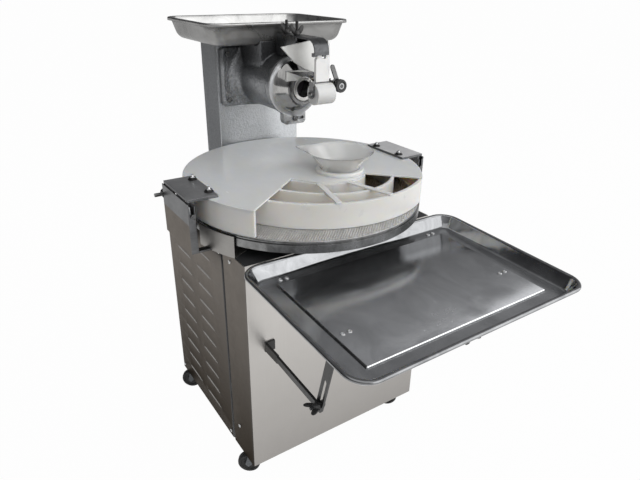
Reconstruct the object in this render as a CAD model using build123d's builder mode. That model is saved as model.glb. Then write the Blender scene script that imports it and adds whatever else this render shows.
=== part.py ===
"""Dough divider: cabinet on casters, screw extruder with cutter, turning disc under a spiral lid, tilting tray."""

import math
import os

from build123d import *

os.makedirs("parts", exist_ok=True)

# Fits and gaps
run_fit = 0.05
seat_gap = 0.3
side_gap = 0.5
free_gap = 1.0

# Cabinet, measured from the disc axis at X = Y = 0 with the floor at Z = 0
cabinet_width = 540.0
cabinet_front = -193.0
cabinet_back = 301.0
panel_bottom = 65.0
deck_top = 655.0
sheet = 2.0
tube = 30.0
tube_wall = 2.5
drain_radius = 6.0
deck_thick = 5.0
corner_return = 115.0
louvre_length = 100.0
louvre_rise = 13.0
louvre_out = 3.5
louvre_pitch = 52.0
louvre_rows = 10
louvre_first = 45.0
louvre_column_insets = (256.0, 121.0)
screw_head = 5.0
screw_head_thick = 2.5
seam_gap = 4.0
strip_screw_inset = 45.0
strip_screw_rise = 81.0

# Casters
wheel_radius = 30.0
wheel_width = 20.0
wheel_round = 4.0
caster_trail = 20.0
caster_turn = 53.0
caster_stem = 6.0
caster_axle = 4.0
caster_inset_x = 28.0
caster_inset_y = 42.0
gusset = 80.0
fork_leg = 3.0

# Turning disc and its drive
disc_radius = 300.0
disc_lift = 29.0
disc_height = 25.0
disc_web = 12.0
disc_rim = 10.0
disc_hub = 95.0
rim_groove = 3.0
plate_thick = 2.0
plate_edge = 2.0
plate_chamfer = 0.5
spindle_radius = 25.0
spindle_flange = 90.0
spindle_flange_thick = 12.0
housing_flange = 100.0
housing_flange_thick = 12.0
housing_radius = 55.0
housing_depth = 55.0
gearbox_half = 60.0
gearbox_height = 110.0
disc_motor_radius = 52.0
disc_motor_length = 170.0
guard_gap = 4.0
guard_sheet = 2.0
guard_drop = 2.0
guard_foot = 46.0
guard_near = 7.0
guard_start = 18.6
guard_end = 28.5

# Lid, spiral wall and funnel
lid_over = 1.0
lid_rise = 65.5
lid_thick = 4.0
wall_thick = 8.0
wall_gap = 2.0
wall_shares = (0.28, 0.52, 0.76, 0.99)
sector_start = -142.0
sector_end = -45.0
wall_lead_in = 58.0
wall_angle_step = 8.0
outer_ramp = 1.6
slat_width = 13.0
slat_angles = (-103.5, -74.0)
funnel_x = 70.0
funnel_y = -62.0
funnel_rim_radius = 84.0
funnel_neck_radius = 50.0
funnel_neck_height = 14.0
funnel_height = 52.0
funnel_wall = 2.0
lip_reach = 118.0
lip_angle = 130.0
lip_spread = 34.0
collar_width = 11.0
collar_height = 9.0
collar_round = 3.5

# Lid clamps
clamp_overhang = 38.0
clamp_length = 71.0
clamp_half = 76.0
clamp_plate = 6.0
cheek_thick = 4.0
cheek_width = 14.0
cheek_drop = 8.5
stand_sheet = 2.5
stand_wall_drop = 2.0
foot_length = 114.0
tongue_length = 48.5
lug_length = 14.0
pin_drop = 31.5
pin_radius = 4.0
slot_play = 0.4
handle_hub = 12.0
handle_hub_length = 16.0
handle_bar = 4.5
handle_half = 28.0
lid_bolt_inset = 23.0
lid_bolt_y = 48.0
lid_bolt_radius = 4.0
bolt_head_radius = 7.5
bolt_head_thick = 6.0
bolt_end = 5.0

# Column and extruder
extruder_x = 40.0
extruder_z = 962.0
column_gap = 5.0
column_width = 256.0
column_depth = 98.0
column_bottom = 75.0
column_over = 96.0
column_sheet = 3.0
barrel_radius = 74.0
barrel_bore = 58.5
barrel_length = 174.0
rear_flange_width = 240.0
rear_flange_low = 75.0
rear_flange_high = 83.0
rear_flange_thick = 18.0
cove_radius = 28.0
cove_lap = 4.0
front_flange_radius = 76.0
front_flange_thick = 14.0
lug_half = 15.0
lug_reach = 108.0
lower_lug_reach = 98.0
lug_round = 10.0
lower_lug_half = 33.0
lug_slot_length = 23.0
cone_flange_thick = 8.0
cone_depth = 42.0
cone_shoulder_radius = 64.0
cone_tip_radius = 40.0
nozzle_outer = 30.0
nozzle_bore = 21.0
nozzle_reach = 54.0
nozzle_length = 16.0
throat_half = 62.0
throat_opening_half = 45.0
throat_length = 100.0
throat_inset = 13.0
throat_wall = 10.0
neck_rise = 12.0
hopper_width = 428.0
hopper_depth = 315.0
hopper_shift = 5.5
hopper_offset = 5.0
hopper_height = 56.0
hopper_inset = 14.0
hopper_corner = 40.0
hopper_round = 30.0
hopper_sheet = 2.0
rim_half = 4.0
rim_width = 9.0
rim_roll = 3.2
auger_shaft = 20.0
auger_radius = 56.0
auger_pitch = 55.0
auger_flight = 8.0
auger_turns = 2.6
auger_inset = 10.0
pulley_inset = 37.0
pulley_width = 44.0
pulley_lip = 3.0
pulley_lip_rise = 5.0
auger_pulley_radius = 75.0
motor_pulley_radius = 50.0
belt_thick = 6.0
belt_air = 0.4
motor_z = 330.0
motor_shaft = 14.0
motor_box_half = 72.0
motor_box_length = 146.0
motor_radius = 64.0
motor_length = 180.0

# Cutter, measured from the extruder axis
knife_gap = 2.0
knife_thick = 6.0
knife_pivot = (46.0, 34.0)
knife_toe = (-69.0, 104.0)
knife_heel = (16.0, 117.0)
knife_shoulder = (40.0, 46.0)
knife_edge = ((22.0, 41.0), (-6.0, 51.0), (-32.0, 67.0))
knife_pivot_radius = 5.0
knife_hub = 13.0
knife_bar_half = 12.0
knife_bar_left = 50.0
knife_bar_thick = 8.0
pivot_head = 9.0
pivot_head_thick = 4.0
strap_half = 20.0
strap_thick = 4.0
strap_rise = 126.0
strap_length = 181.0
strap_overlap = 48.0
strap_bend = 25.0
web_drop = 46.0
ear_half = 5.0
gauge_set_back = 10.5
gauge_thick = 8.0
gauge_pivot_rise = 90.0
gauge_pin = 3.0
gauge_left_reach = 12.0
gauge_right_reach = 26.0
gauge_bottom_rise = 28.0
gauge_top_rise = 122.0
gauge_shoulder_rise = 98.0
roller_radius = 25.5
roller_left_reach = 18.0
roller_right_reach = 34.0
roller_drop = 1.0
axle_radius = 4.0
fork_plate = 4.0
fork_bar = 6.0
fork_half = 9.0
small_wheel_reach = 52.0
small_wheel_rise = 16.0
small_wheel_radius = 16.0
small_wheel_half = 6.0
lever_half = 5.5
lever_lean = 19.0
lever_rise = 45.0
stud_radius = 4.0
stud_rise = 158.0
stud_offsets = (30.0, -20.0)
wing_hub = 8.0
wing_hub_height = 10.0
wing_span = 19.0
wing_height = 14.0
wing_thick = 3.0

# Tray, built flat with its back rim at Y = 0 and the rim middle at Z = 0, then tilted and hung
tray_width = 600.0
tray_length = 420.0
tray_gap = 26.0
tray_lift = 12.0
tray_slope = 1.9
tray_depth = 26.0
tray_inset = 16.0
tray_corner = 38.0
tray_round = 9.0
tray_sheet = 1.5
inner_plate_width = 476.0
inner_plate_length = 306.0
inner_plate_thick = 4.0
inner_plate_bevel = 2.8
screw_pair_half = 8.0
rear_screw_in = 43.0
front_screw_in = 268.0
rail_x = 212.0
rail_half = 15.0
rail_low = 46.0
rail_length = 380.0
hinge_local_y = 10.0
hinge_local_z = -35.0
hinge_pin = 4.0
knuckle = 10.0
ear_thick = 4.0
bracket_plate = 4.0
bracket_half = 34.0
link_top_out = 268.0
link_top_drop = 56.0
link_bolt_out = 223.0
link_bolt_drop = 235.0
arm_root_out = 58.0
arm_root_drop = 226.0
arm_thick = 6.0
arm_half = 8.0
root_half = 11.0
link_thick = 5.0
link_half = 11.0
link_pin = 5.0
slot_half = 5.5
slot_near = 110.0
slot_far = 195.0
link_bolt = 4.0
lug_plate_half = 13.0

# Controls
box_out = 42.0
box_half_y = 31.0
box_half_z = 60.0
box_drop = 125.0
box_sheet = 2.0
switch_stem = 6.0
switch_radius = 20.0
switch_out = 16.0
switch_grip_half = 18.0
switch_grip_out = 8.0
gland_x = -200.0
gland_z = 150.0
gland_bore = 5.2
gland_thread = 10.0
gland_nut = 14.0
gland_out = 18.0
gland_in = 10.0

# Heights and depths that follow from the sizes above
half_width = cabinet_width / 2
frame_half = half_width - sheet
frame_front = cabinet_front + sheet
frame_back = cabinet_back - sheet
deck_bottom = deck_top - deck_thick
panel_start = cabinet_front + corner_return + seam_gap
disc_bottom = deck_top + disc_lift
disc_top = disc_bottom + disc_height
plate_top = disc_top + plate_thick
housing_bottom = deck_top - housing_depth
guard_radius = disc_radius + guard_gap + guard_sheet
guard_top = disc_top - guard_drop
lid_radius = disc_radius + lid_over
lid_top = plate_top + lid_rise
wall_bottom = plate_top + wall_gap
wall_top = lid_top - lid_thick
wall_steps = [share * disc_radius for share in wall_shares]
clamp_outer = lid_radius + clamp_overhang
stand_outer = clamp_outer + side_gap + stand_sheet
clamp_inner = clamp_outer - clamp_length
foot_inner = clamp_outer - foot_length
cheek_face = clamp_half + cheek_thick
cheek_top = lid_top - cheek_drop
stand_wall_top = lid_top - stand_wall_drop
tongue_bottom = lid_top - tongue_length
pin_height = lid_top - pin_drop
lid_bolt_x = lid_radius - lid_bolt_inset
column_front = cabinet_back + column_gap
column_back = column_front + column_depth
column_top = extruder_z + column_over
column_left = extruder_x - column_width / 2
column_right = extruder_x + column_width / 2
flange_front = column_front - rear_flange_thick
barrel_front = flange_front - barrel_length
throat_back = flange_front - throat_inset
throat_front = throat_back - throat_length
hopper_bottom = column_top
hopper_top = hopper_bottom + hopper_height
hopper_center_x = extruder_x + hopper_offset
hopper_center_y = column_front + hopper_shift
hopper_back = hopper_center_y + hopper_depth / 2
nozzle_front = barrel_front - nozzle_reach
nozzle_back = nozzle_front + nozzle_length
cone_tip = barrel_front - cone_depth
auger_front = barrel_front + auger_inset
pulley_front = column_front + pulley_inset
pulley_back = pulley_front + pulley_width
motor_box_back = frame_back - column_sheet
motor_box_front = motor_box_back - motor_box_length
knife_back = nozzle_front - knife_gap
knife_pivot_x = extruder_x + knife_pivot[0]
knife_pivot_z = extruder_z + knife_pivot[1]
strap_top = extruder_z + strap_rise
strap_back = barrel_front + strap_overlap
strap_front = strap_back - strap_length
gauge_y = strap_front + gauge_set_back
gauge_pivot_z = extruder_z + gauge_pivot_rise
gauge_left = extruder_x - gauge_left_reach
gauge_right = extruder_x + gauge_right_reach
gauge_bottom = extruder_z + gauge_bottom_rise
gauge_top = extruder_z + gauge_top_rise
gauge_shoulder = extruder_z + gauge_shoulder_rise
roller_left = extruder_x - roller_left_reach
roller_right = extruder_x + roller_right_reach
roller_z = extruder_z - roller_drop
wheel_x = extruder_x + small_wheel_reach
wheel_z = extruder_z + small_wheel_rise
stud_top = extruder_z + stud_rise
stud_ys = [barrel_front + offset for offset in stud_offsets]
tray_back = cabinet_front - tray_gap
tray_z = deck_top + tray_lift
link_top_y = cabinet_front - link_top_out
link_top_z = deck_top - link_top_drop
bolt_c_y = cabinet_front - link_bolt_out
bolt_c_z = deck_top - link_bolt_drop
arm_root_y = cabinet_front - arm_root_out
arm_root_z = deck_top - arm_root_drop
box_face = half_width + box_out
box_y = panel_start + box_sheet + box_half_y
box_z = deck_top - box_drop
slope = math.radians(tray_slope)
tray_reach = tray_back - tray_length * math.cos(slope) - rim_half * math.sin(slope)
frame_shift = -(tray_reach + hopper_back) / 2
tray_plane = Plane(
    origin=(0, tray_back, tray_z),
    x_dir=(1, 0, 0),
    z_dir=(0, -math.sin(slope), math.cos(slope)),
)
hinge_y = tray_back + hinge_local_y * math.cos(slope) - hinge_local_z * math.sin(slope)
hinge_z = tray_z + hinge_local_y * math.sin(slope) + hinge_local_z * math.cos(slope)
sides = (-1, 1)


def block(x0, x1, y0, y1, z0, z1, mode=Mode.ADD):
    """Adds a box between the given limits."""
    with Locations(((x0 + x1) / 2, (y0 + y1) / 2, (z0 + z1) / 2)):
        Box(abs(x1 - x0), abs(y1 - y0), abs(z1 - z0), mode=mode)


def rod_x(x0, x1, y, z, radius, mode=Mode.ADD):
    """Adds a cylinder along X."""
    with Locations(((x0 + x1) / 2, y, z)):
        Cylinder(radius, abs(x1 - x0), rotation=(0, 90, 0), mode=mode)


def rod_y(y0, y1, x, z, radius, mode=Mode.ADD):
    """Adds a cylinder along Y."""
    with Locations((x, (y0 + y1) / 2, z)):
        Cylinder(radius, abs(y1 - y0), rotation=(90, 0, 0), mode=mode)


def rod_z(z0, z1, x, y, radius, mode=Mode.ADD):
    """Adds a cylinder along Z."""
    with Locations((x, y, (z0 + z1) / 2)):
        Cylinder(radius, abs(z1 - z0), mode=mode)


def hex_z(z0, z1, x, y):
    """Adds a hexagon head or nut along Z."""
    with BuildSketch(Plane.XY.offset(z0)) as outline:
        with Locations((x, y)):
            RegularPolygon(bolt_head_radius, 6)
    extrude(outline.sketch, amount=z1 - z0)


def hex_y(y_back, y_front, x, z):
    """Adds a hexagon head or nut along Y."""
    with BuildSketch(Plane.XZ.offset(-y_back)) as outline:
        with Locations((x, z)):
            RegularPolygon(bolt_head_radius, 6)
    extrude(outline.sketch, amount=y_back - y_front)


def slab_x(x0, x1, points, mode=Mode.ADD):
    """Adds a plate between two X planes whose outline is given as Y, Z points."""
    with BuildSketch(Plane.YZ.offset(min(x0, x1))) as outline:
        with BuildLine():
            Polyline(*points, close=True)
        make_face()
    extrude(outline.sketch, amount=abs(x1 - x0), mode=mode)


def slab_y(y_back, y_front, points, mode=Mode.ADD):
    """Adds a plate between two Y planes whose outline is given as X, Z points."""
    with BuildSketch(Plane.XZ.offset(-y_back)) as outline:
        with BuildLine():
            Polyline(*points, close=True)
        make_face()
    extrude(outline.sketch, amount=y_back - y_front, mode=mode)


def bar_x(x0, x1, start, end, half, mode=Mode.ADD):
    """Adds a flat bar with round ends between two Y, Z points."""
    middle = ((start[0] + end[0]) / 2, (start[1] + end[1]) / 2)
    length = math.dist(start, end)
    turn = math.degrees(math.atan2(end[1] - start[1], end[0] - start[0]))
    with BuildSketch(Plane.YZ.offset(min(x0, x1))) as outline:
        with Locations(middle):
            SlotCenterToCenter(length, 2 * half, rotation=turn)
    extrude(outline.sketch, amount=abs(x1 - x0), mode=mode)


def save(builder, name, place=Location()):
    """Writes one node in the shared frame."""
    piece = builder.part.moved(Location((0, frame_shift, 0)) * place)
    piece.label = name
    export_step(piece, f"parts/{name}.step")


# Welded base frame with the deck, motor shelf and column pads
caster_x = half_width - caster_inset_x
caster_ys = (cabinet_front + caster_inset_y, cabinet_back - caster_inset_y)
shelf_z = motor_z - motor_box_half
edge_ys = ((frame_front, frame_front + tube), (frame_back - tube, frame_back))
post_xs = ((-frame_half, tube - frame_half), (frame_half - tube, frame_half))
pad_xs = [extruder_x + side * (column_width / 2 - tube) for side in sides]
posts = [(*x, *y, panel_bottom, deck_bottom) for x in post_xs for y in edge_ys]
pads = [(x - tube / 2, x + tube / 2, frame_back - tube, column_front, column_bottom, deck_bottom) for x in pad_xs]
side_rails = [
    (*x, frame_front, frame_back, z, z + tube)
    for x in post_xs
    for z in (panel_bottom, shelf_z - tube, deck_bottom - tube)
]
rail_zs = (panel_bottom, deck_bottom - tube)
cross_rails = [(-frame_half, frame_half, *y, z, z + tube) for y in edge_ys for z in rail_zs]
shelf_rails = [
    (-frame_half, frame_half, y, y + tube, shelf_z - tube, shelf_z)
    for y in (motor_box_front, motor_box_back - 2 * tube)
]
members = posts + pads + side_rails + cross_rails + shelf_rails
with BuildPart() as base_frame:
    for limits in members:
        block(*limits)
    block(-frame_half, frame_half, frame_front, frame_back, deck_bottom, deck_top)
    for side in sides:
        for y_corner in caster_ys:
            y_edge = frame_front if y_corner < 0 else frame_back
            y_in = y_edge + math.copysign(gusset, -y_corner)
            x_in = side * (frame_half - gusset)
            block(x_in, side * frame_half, y_edge, y_in, panel_bottom, panel_bottom + deck_thick)
    for x0, x1, y0, y1, z0, z1 in members:
        block(
            x0 + tube_wall, x1 - tube_wall, y0 + tube_wall, y1 - tube_wall, z0 + tube_wall, z1 - tube_wall,
            Mode.SUBTRACT,
        )
    for x0, x1, y0, y1, z0, z1 in posts:
        rod_z(z0, z0 + tube_wall, (x0 + x1) / 2, (y0 + y1) / 2, drain_radius, Mode.SUBTRACT)
    for side in sides:
        for y_corner in caster_ys:
            rod_z(panel_bottom, panel_bottom + tube, side * caster_x, y_corner, caster_stem + run_fit, Mode.SUBTRACT)
    rod_z(deck_bottom, deck_top, 0, 0, housing_radius + side_gap, Mode.SUBTRACT)
save(base_frame, "base_frame")

# Front panel folded round both front corners
with BuildPart() as front_panel:
    block(-half_width, half_width, cabinet_front, frame_front, panel_bottom, deck_top)
    for side in sides:
        block(
            side * frame_half, side * half_width,
            cabinet_front, cabinet_front + corner_return, panel_bottom, deck_top,
        )
save(front_panel, "front_panel")

# Louvred side panels
def side_panel(side):
    """Makes one side panel with two columns of louvres pressed outwards."""
    with BuildPart() as panel:
        block(side * frame_half, side * half_width, panel_start, cabinet_back, panel_bottom, deck_top)
        for inset in louvre_column_insets:
            y_mid = cabinet_back - inset
            y_low = y_mid - louvre_length / 2
            y_high = y_mid + louvre_length / 2
            for row in range(louvre_rows):
                z_low = panel_bottom + louvre_first + row * louvre_pitch
                hood = (
                    (side * half_width, z_low + louvre_rise),
                    (side * (half_width + louvre_out), z_low),
                    (side * (half_width + louvre_out - sheet), z_low),
                    (side * half_width, z_low + louvre_rise - 2 * sheet),
                )
                slab_y(y_high, y_low, hood)
                cap = (hood[0], hood[1], (side * half_width, z_low))
                slab_y(y_low + sheet, y_low, cap)
                slab_y(y_high, y_high - sheet, cap)
                block(
                    side * frame_half, side * half_width,
                    y_low + sheet, y_high - sheet, z_low, z_low + louvre_rise - 2 * sheet, Mode.SUBTRACT,
                )
    return panel


left_panel = side_panel(-1)
save(left_panel, "left_panel")
with BuildPart() as right_panel:
    add(side_panel(1).part)
    rod_x(frame_half, half_width, box_y, box_z, switch_stem + side_gap, Mode.SUBTRACT)
save(right_panel, "right_panel")

# Rear panel with openings for the column pads, the motor shaft and the gland
with BuildPart() as rear_panel:
    block(-frame_half, frame_half, frame_back, cabinet_back, panel_bottom, deck_top)
    for pad_x in pad_xs:
        block(
            pad_x - tube / 2 - side_gap, pad_x + tube / 2 + side_gap,
            frame_back, cabinet_back, column_bottom - side_gap, deck_bottom + side_gap, Mode.SUBTRACT,
        )
    rod_y(frame_back, cabinet_back, extruder_x, motor_z, motor_shaft + free_gap, Mode.SUBTRACT)
    rod_y(frame_back, cabinet_back, gland_x, gland_z, gland_thread + run_fit, Mode.SUBTRACT)
save(rear_panel, "rear_panel")

# Screws of the corner returns and side panels
screw_zs = (panel_bottom + tube / 2, deck_bottom - tube / 2)
strip_zs = (panel_bottom + strip_screw_rise, deck_bottom - tube / 2)
screw_rows = (
    (panel_start - strip_screw_inset, strip_zs),
    (panel_start + tube / 2, screw_zs),
    (cabinet_back - tube / 2, screw_zs),
)
with BuildPart() as panel_screws:
    for side in sides:
        for y_screw, z_screws in screw_rows:
            for z_screw in z_screws:
                rod_x(side * half_width, side * (half_width + screw_head_thick), y_screw, z_screw, screw_head)
save(panel_screws, "panel_screws")

# Swivel casters
fork_top = panel_bottom - side_gap
fork_inner = wheel_width / 2 + free_gap
fork_outer = fork_inner + fork_leg
with BuildPart() as fork:
    rod_z(fork_top, panel_bottom + deck_thick, 0, 0, caster_stem)
    block(-fork_outer, fork_outer, -caster_trail / 2, caster_trail, 2 * wheel_radius + free_gap, fork_top)
    for leg in sides:
        slab_x(
            leg * fork_inner, leg * fork_outer,
            (
                (-caster_trail / 2, fork_top),
                (caster_trail, fork_top),
                (caster_trail + 2 * caster_axle, wheel_radius),
                (caster_trail, wheel_radius - 2 * caster_axle),
                (caster_trail - 2 * caster_axle, wheel_radius),
            ),
        )
    rod_x(-fork_outer, fork_outer, caster_trail, wheel_radius, caster_axle)
with BuildPart() as wheel:
    rod_x(-wheel_width / 2, wheel_width / 2, caster_trail, wheel_radius, wheel_radius)
    fillet(wheel.edges().filter_by(GeomType.CIRCLE), wheel_round)
    rod_x(-wheel_width, wheel_width, caster_trail, wheel_radius, caster_axle + run_fit, Mode.SUBTRACT)
for side in sides:
    for y_corner in caster_ys:
        tag = f"{'left' if side < 0 else 'right'}_{'front' if y_corner < 0 else 'rear'}"
        stand = Location((side * caster_x, y_corner, 0), (0, 0, caster_turn))
        save(fork, f"caster_fork_{tag}", stand)
        save(wheel, f"caster_wheel_{tag}", stand)

# Turning disc with a grooved rim
web_bottom = disc_top - disc_web
with BuildPart() as turntable:
    rod_z(disc_bottom, disc_top, 0, 0, disc_radius)
    rod_z(disc_bottom, web_bottom, 0, 0, disc_radius - disc_rim, Mode.SUBTRACT)
    rod_z(disc_bottom, web_bottom, 0, 0, disc_hub)
    groove_low = disc_top - 2 * rim_groove
    with BuildSketch(Plane.XY.offset(groove_low)) as groove:
        Circle(disc_radius)
        Circle(disc_radius - rim_groove, mode=Mode.SUBTRACT)
    extrude(groove.sketch, amount=rim_groove, mode=Mode.SUBTRACT)
save(turntable, "turntable")

with BuildPart() as friction_plate:
    rod_z(disc_top, plate_top, 0, 0, disc_radius - plate_edge)
    chamfer(friction_plate.edges().group_by(Axis.Z)[-1], plate_chamfer)
save(friction_plate, "friction_plate")

# Spindle, bearing housing and disc gearmotor
spindle_bottom = housing_bottom - gearbox_height
with BuildPart() as spindle:
    rod_z(spindle_bottom, disc_bottom, 0, 0, spindle_radius)
    rod_z(disc_bottom - spindle_flange_thick, disc_bottom, 0, 0, spindle_flange)
save(spindle, "spindle")

with BuildPart() as bearing_housing:
    rod_z(housing_bottom, deck_top, 0, 0, housing_radius)
    rod_z(deck_top, deck_top + housing_flange_thick, 0, 0, housing_flange)
    rod_z(housing_bottom, deck_top + housing_flange_thick, 0, 0, spindle_radius + run_fit, Mode.SUBTRACT)
save(bearing_housing, "bearing_housing")

with BuildPart() as disc_gearmotor:
    block(-gearbox_half, gearbox_half, -gearbox_half, gearbox_half, spindle_bottom, housing_bottom)
    motor_mid = spindle_bottom + gearbox_height / 2
    rod_x(-gearbox_half - disc_motor_length, -gearbox_half, 0, motor_mid, disc_motor_radius)
    rod_z(spindle_bottom, housing_bottom, 0, 0, spindle_radius + run_fit, Mode.SUBTRACT)
save(disc_gearmotor, "disc_gearmotor")

# Arc guards beside the disc: walls that pass inside the clamp cheeks and over the clamp feet
guard_parts = (
    (guard_near, guard_top - deck_top, guard_sheet),
    (guard_start, guard_sheet, guard_foot),
)
with BuildPart() as disc_guards:
    for middle in (0, 180):
        for end in sides:
            for near, height, width in guard_parts:
                with BuildSketch(Plane.XY.offset(deck_top)) as arc_face:
                    with BuildLine():
                        outer = CenterArc((0, 0), guard_radius, middle + end * near, end * (guard_end - near))
                        inner = CenterArc((0, 0), guard_radius - width, middle + end * near, end * (guard_end - near))
                        Line(outer @ 0, inner @ 0)
                        Line(outer @ 1, inner @ 1)
                    make_face()
                extrude(arc_face.sketch, amount=height)
    for side in sides:
        for end in sides:
            block(
                side * foot_inner, side * clamp_outer,
                end * (clamp_half - lug_length - free_gap), end * (cheek_face + free_gap),
                deck_top, deck_top + cheek_thick, Mode.SUBTRACT,
            )
save(disc_guards, "disc_guards")


# Spiral wall: concentric rings joined by ramps in the open sector
def ramp_radius(angle):
    """Gives the middle radius of the wall at a running angle."""
    last = len(wall_steps) - 2
    turn = min(math.floor((angle - sector_start) / 360), last)
    if turn < 0:
        return wall_steps[0]
    share = min((angle - sector_start - 360 * turn) / (sector_end - sector_start), 1.0)
    ease = share**outer_ramp if turn == last else share * share * (3 - 2 * share)
    return wall_steps[turn] + (wall_steps[turn + 1] - wall_steps[turn]) * ease


def polar(radius, angle):
    """Turns a radius and an angle in degrees into X, Y."""
    return (radius * math.cos(math.radians(angle)), radius * math.sin(math.radians(angle)))


wall_breaks = (
    sector_start - wall_lead_in,
    sector_start,
    sector_end,
    sector_start + 360,
    sector_end + 360,
    sector_start + 720,
    sector_end + 720,
    sector_start + 1080,
)
with BuildPart() as spiral_wall:
    for begin, finish in zip(wall_breaks, wall_breaks[1:]):
        steps = max(2, round((finish - begin) / wall_angle_step))
        angles = [begin + (finish - begin) * i / steps for i in range(steps + 1)]
        with BuildSketch(Plane.XY.offset(wall_bottom)) as wall_face:
            with BuildLine():
                outer = Spline(*[polar(ramp_radius(a) + wall_thick / 2, a) for a in angles])
                inner = Spline(*[polar(ramp_radius(a) - wall_thick / 2, a) for a in angles])
                Line(outer @ 0, inner @ 0)
                Line(outer @ 1, inner @ 1)
            make_face()
        extrude(wall_face.sketch, amount=wall_top - wall_bottom)
save(spiral_wall, "spiral_wall")

# Lid plate with the open sector and the funnel hole
sector_steps = round((sector_end - sector_start) / wall_angle_step)
sector_angles = [sector_start + (sector_end - sector_start) * i / sector_steps for i in range(sector_steps + 1)]
with BuildPart() as lid:
    with BuildSketch(Plane.XY.offset(wall_top)) as lid_face:
        Circle(lid_radius)
        with BuildLine():
            edge = Spline(*[polar(ramp_radius(a), a) for a in sector_angles])
            rim = Polyline(*[polar(2 * lid_radius, a) for a in sector_angles])
            Line(edge @ 0, rim @ 0)
            Line(edge @ 1, rim @ 1)
        make_face(mode=Mode.SUBTRACT)
        with Locations((funnel_x, funnel_y)):
            Circle(funnel_neck_radius - 2 * funnel_wall, mode=Mode.SUBTRACT)
        for side in sides:
            for end in sides:
                with Locations((side * lid_bolt_x, end * lid_bolt_y)):
                    Circle(lid_bolt_radius, mode=Mode.SUBTRACT)
    extrude(amount=lid_thick)
save(lid, "lid")

# Tie slats across the spiral walls
with BuildPart() as tie_slats:
    for angle in slat_angles:
        near = ramp_radius(angle) + slat_width / 2
        far = ramp_radius(angle + 720) + wall_thick / 2
        with BuildSketch(Plane.XY.offset(wall_top)) as slat_face:
            with Locations(polar((near + far) / 2, angle)):
                Rectangle(far - near, slat_width, rotation=angle)
        extrude(slat_face.sketch, amount=lid_thick)
save(tie_slats, "tie_slats")

# Funnel collar and the lift-out funnel with its catching lip
collar_inner = funnel_neck_radius + side_gap
with BuildPart() as funnel_collar:
    rod_z(lid_top, lid_top + collar_height, funnel_x, funnel_y, collar_inner + collar_width)
    fillet(funnel_collar.edges().group_by(Axis.Z)[-1], collar_round)
    rod_z(lid_top, lid_top + collar_height, funnel_x, funnel_y, collar_inner, Mode.SUBTRACT)
save(funnel_collar, "funnel_collar")

neck_top = lid_top + funnel_neck_height
rim_z = lid_top + funnel_height
with BuildPart() as funnel:
    with BuildSketch(Plane.XZ) as funnel_half:
        with BuildLine():
            Polyline(
                (funnel_neck_radius - funnel_wall, lid_top),
                (funnel_neck_radius, lid_top),
                (funnel_neck_radius, neck_top),
                (funnel_rim_radius, rim_z),
                (funnel_rim_radius - funnel_wall, rim_z),
                (funnel_neck_radius - funnel_wall, neck_top + funnel_wall / 2),
                close=True,
            )
        make_face()
    revolve(funnel_half.sketch, axis=Axis.Z)
    with BuildSketch(Plane.XY.offset(rim_z - funnel_wall)) as lip_face:
        with BuildLine():
            Polyline(
                polar(funnel_rim_radius - funnel_wall / 2, lip_angle - lip_spread),
                polar(lip_reach, lip_angle),
                polar(funnel_rim_radius - funnel_wall / 2, lip_angle + lip_spread),
                close=True,
            )
        make_face()
        Circle(funnel_rim_radius - funnel_wall, mode=Mode.SUBTRACT)
    extrude(lip_face.sketch, amount=funnel_wall)
save(funnel, "funnel", Location((funnel_x, funnel_y, 0)))

# Lid clamps: stands on the deck, plates on the lid, pins with T handles
pin_x = clamp_outer - cheek_width / 2
with BuildPart() as clamp_stands:
    for side in sides:
        block(
            side * (clamp_outer + side_gap), side * stand_outer, -cheek_face, cheek_face, deck_top, stand_wall_top,
        )
        for end in sides:
            block(
                side * foot_inner, side * stand_outer,
                end * (clamp_half - lug_length), end * cheek_face, deck_top, deck_top + cheek_thick,
            )
            block(
                side * (clamp_outer - cheek_width), side * stand_outer,
                end * clamp_half, end * cheek_face, deck_top, cheek_top,
            )
    for side in sides:
        rod_y(-2 * clamp_half, 2 * clamp_half, side * pin_x, pin_height, pin_radius + slot_play, Mode.SUBTRACT)
        block(
            side * pin_x - pin_radius - slot_play, side * pin_x + pin_radius + slot_play,
            -2 * clamp_half, 2 * clamp_half, pin_height, cheek_top, Mode.SUBTRACT,
        )
save(clamp_stands, "clamp_stands")

lug_end = clamp_half - side_gap
with BuildPart() as clamp_plates:
    for side in sides:
        block(side * clamp_inner, side * clamp_outer, -clamp_half, clamp_half, lid_top, lid_top + clamp_plate)
        for end in sides:
            block(
                side * (clamp_outer - cheek_width), side * clamp_outer,
                end * (lug_end - lug_length), end * lug_end, tongue_bottom, lid_top,
            )
        rod_y(-clamp_half, clamp_half, side * pin_x, pin_height, pin_radius + run_fit, Mode.SUBTRACT)
        for end in sides:
            rod_z(
                lid_top, lid_top + clamp_plate, side * lid_bolt_x, end * lid_bolt_y, lid_bolt_radius, Mode.SUBTRACT,
            )
save(clamp_plates, "clamp_plates")

with BuildPart() as lid_bolts:
    for side in sides:
        for end in sides:
            rod_z(
                wall_top - bolt_head_thick, lid_top + clamp_plate + bolt_head_thick + bolt_end,
                side * lid_bolt_x, end * lid_bolt_y, lid_bolt_radius,
            )
            for low in (wall_top - bolt_head_thick, lid_top + clamp_plate):
                hex_z(low, low + bolt_head_thick, side * lid_bolt_x, end * lid_bolt_y)
save(lid_bolts, "lid_bolts")

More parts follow.
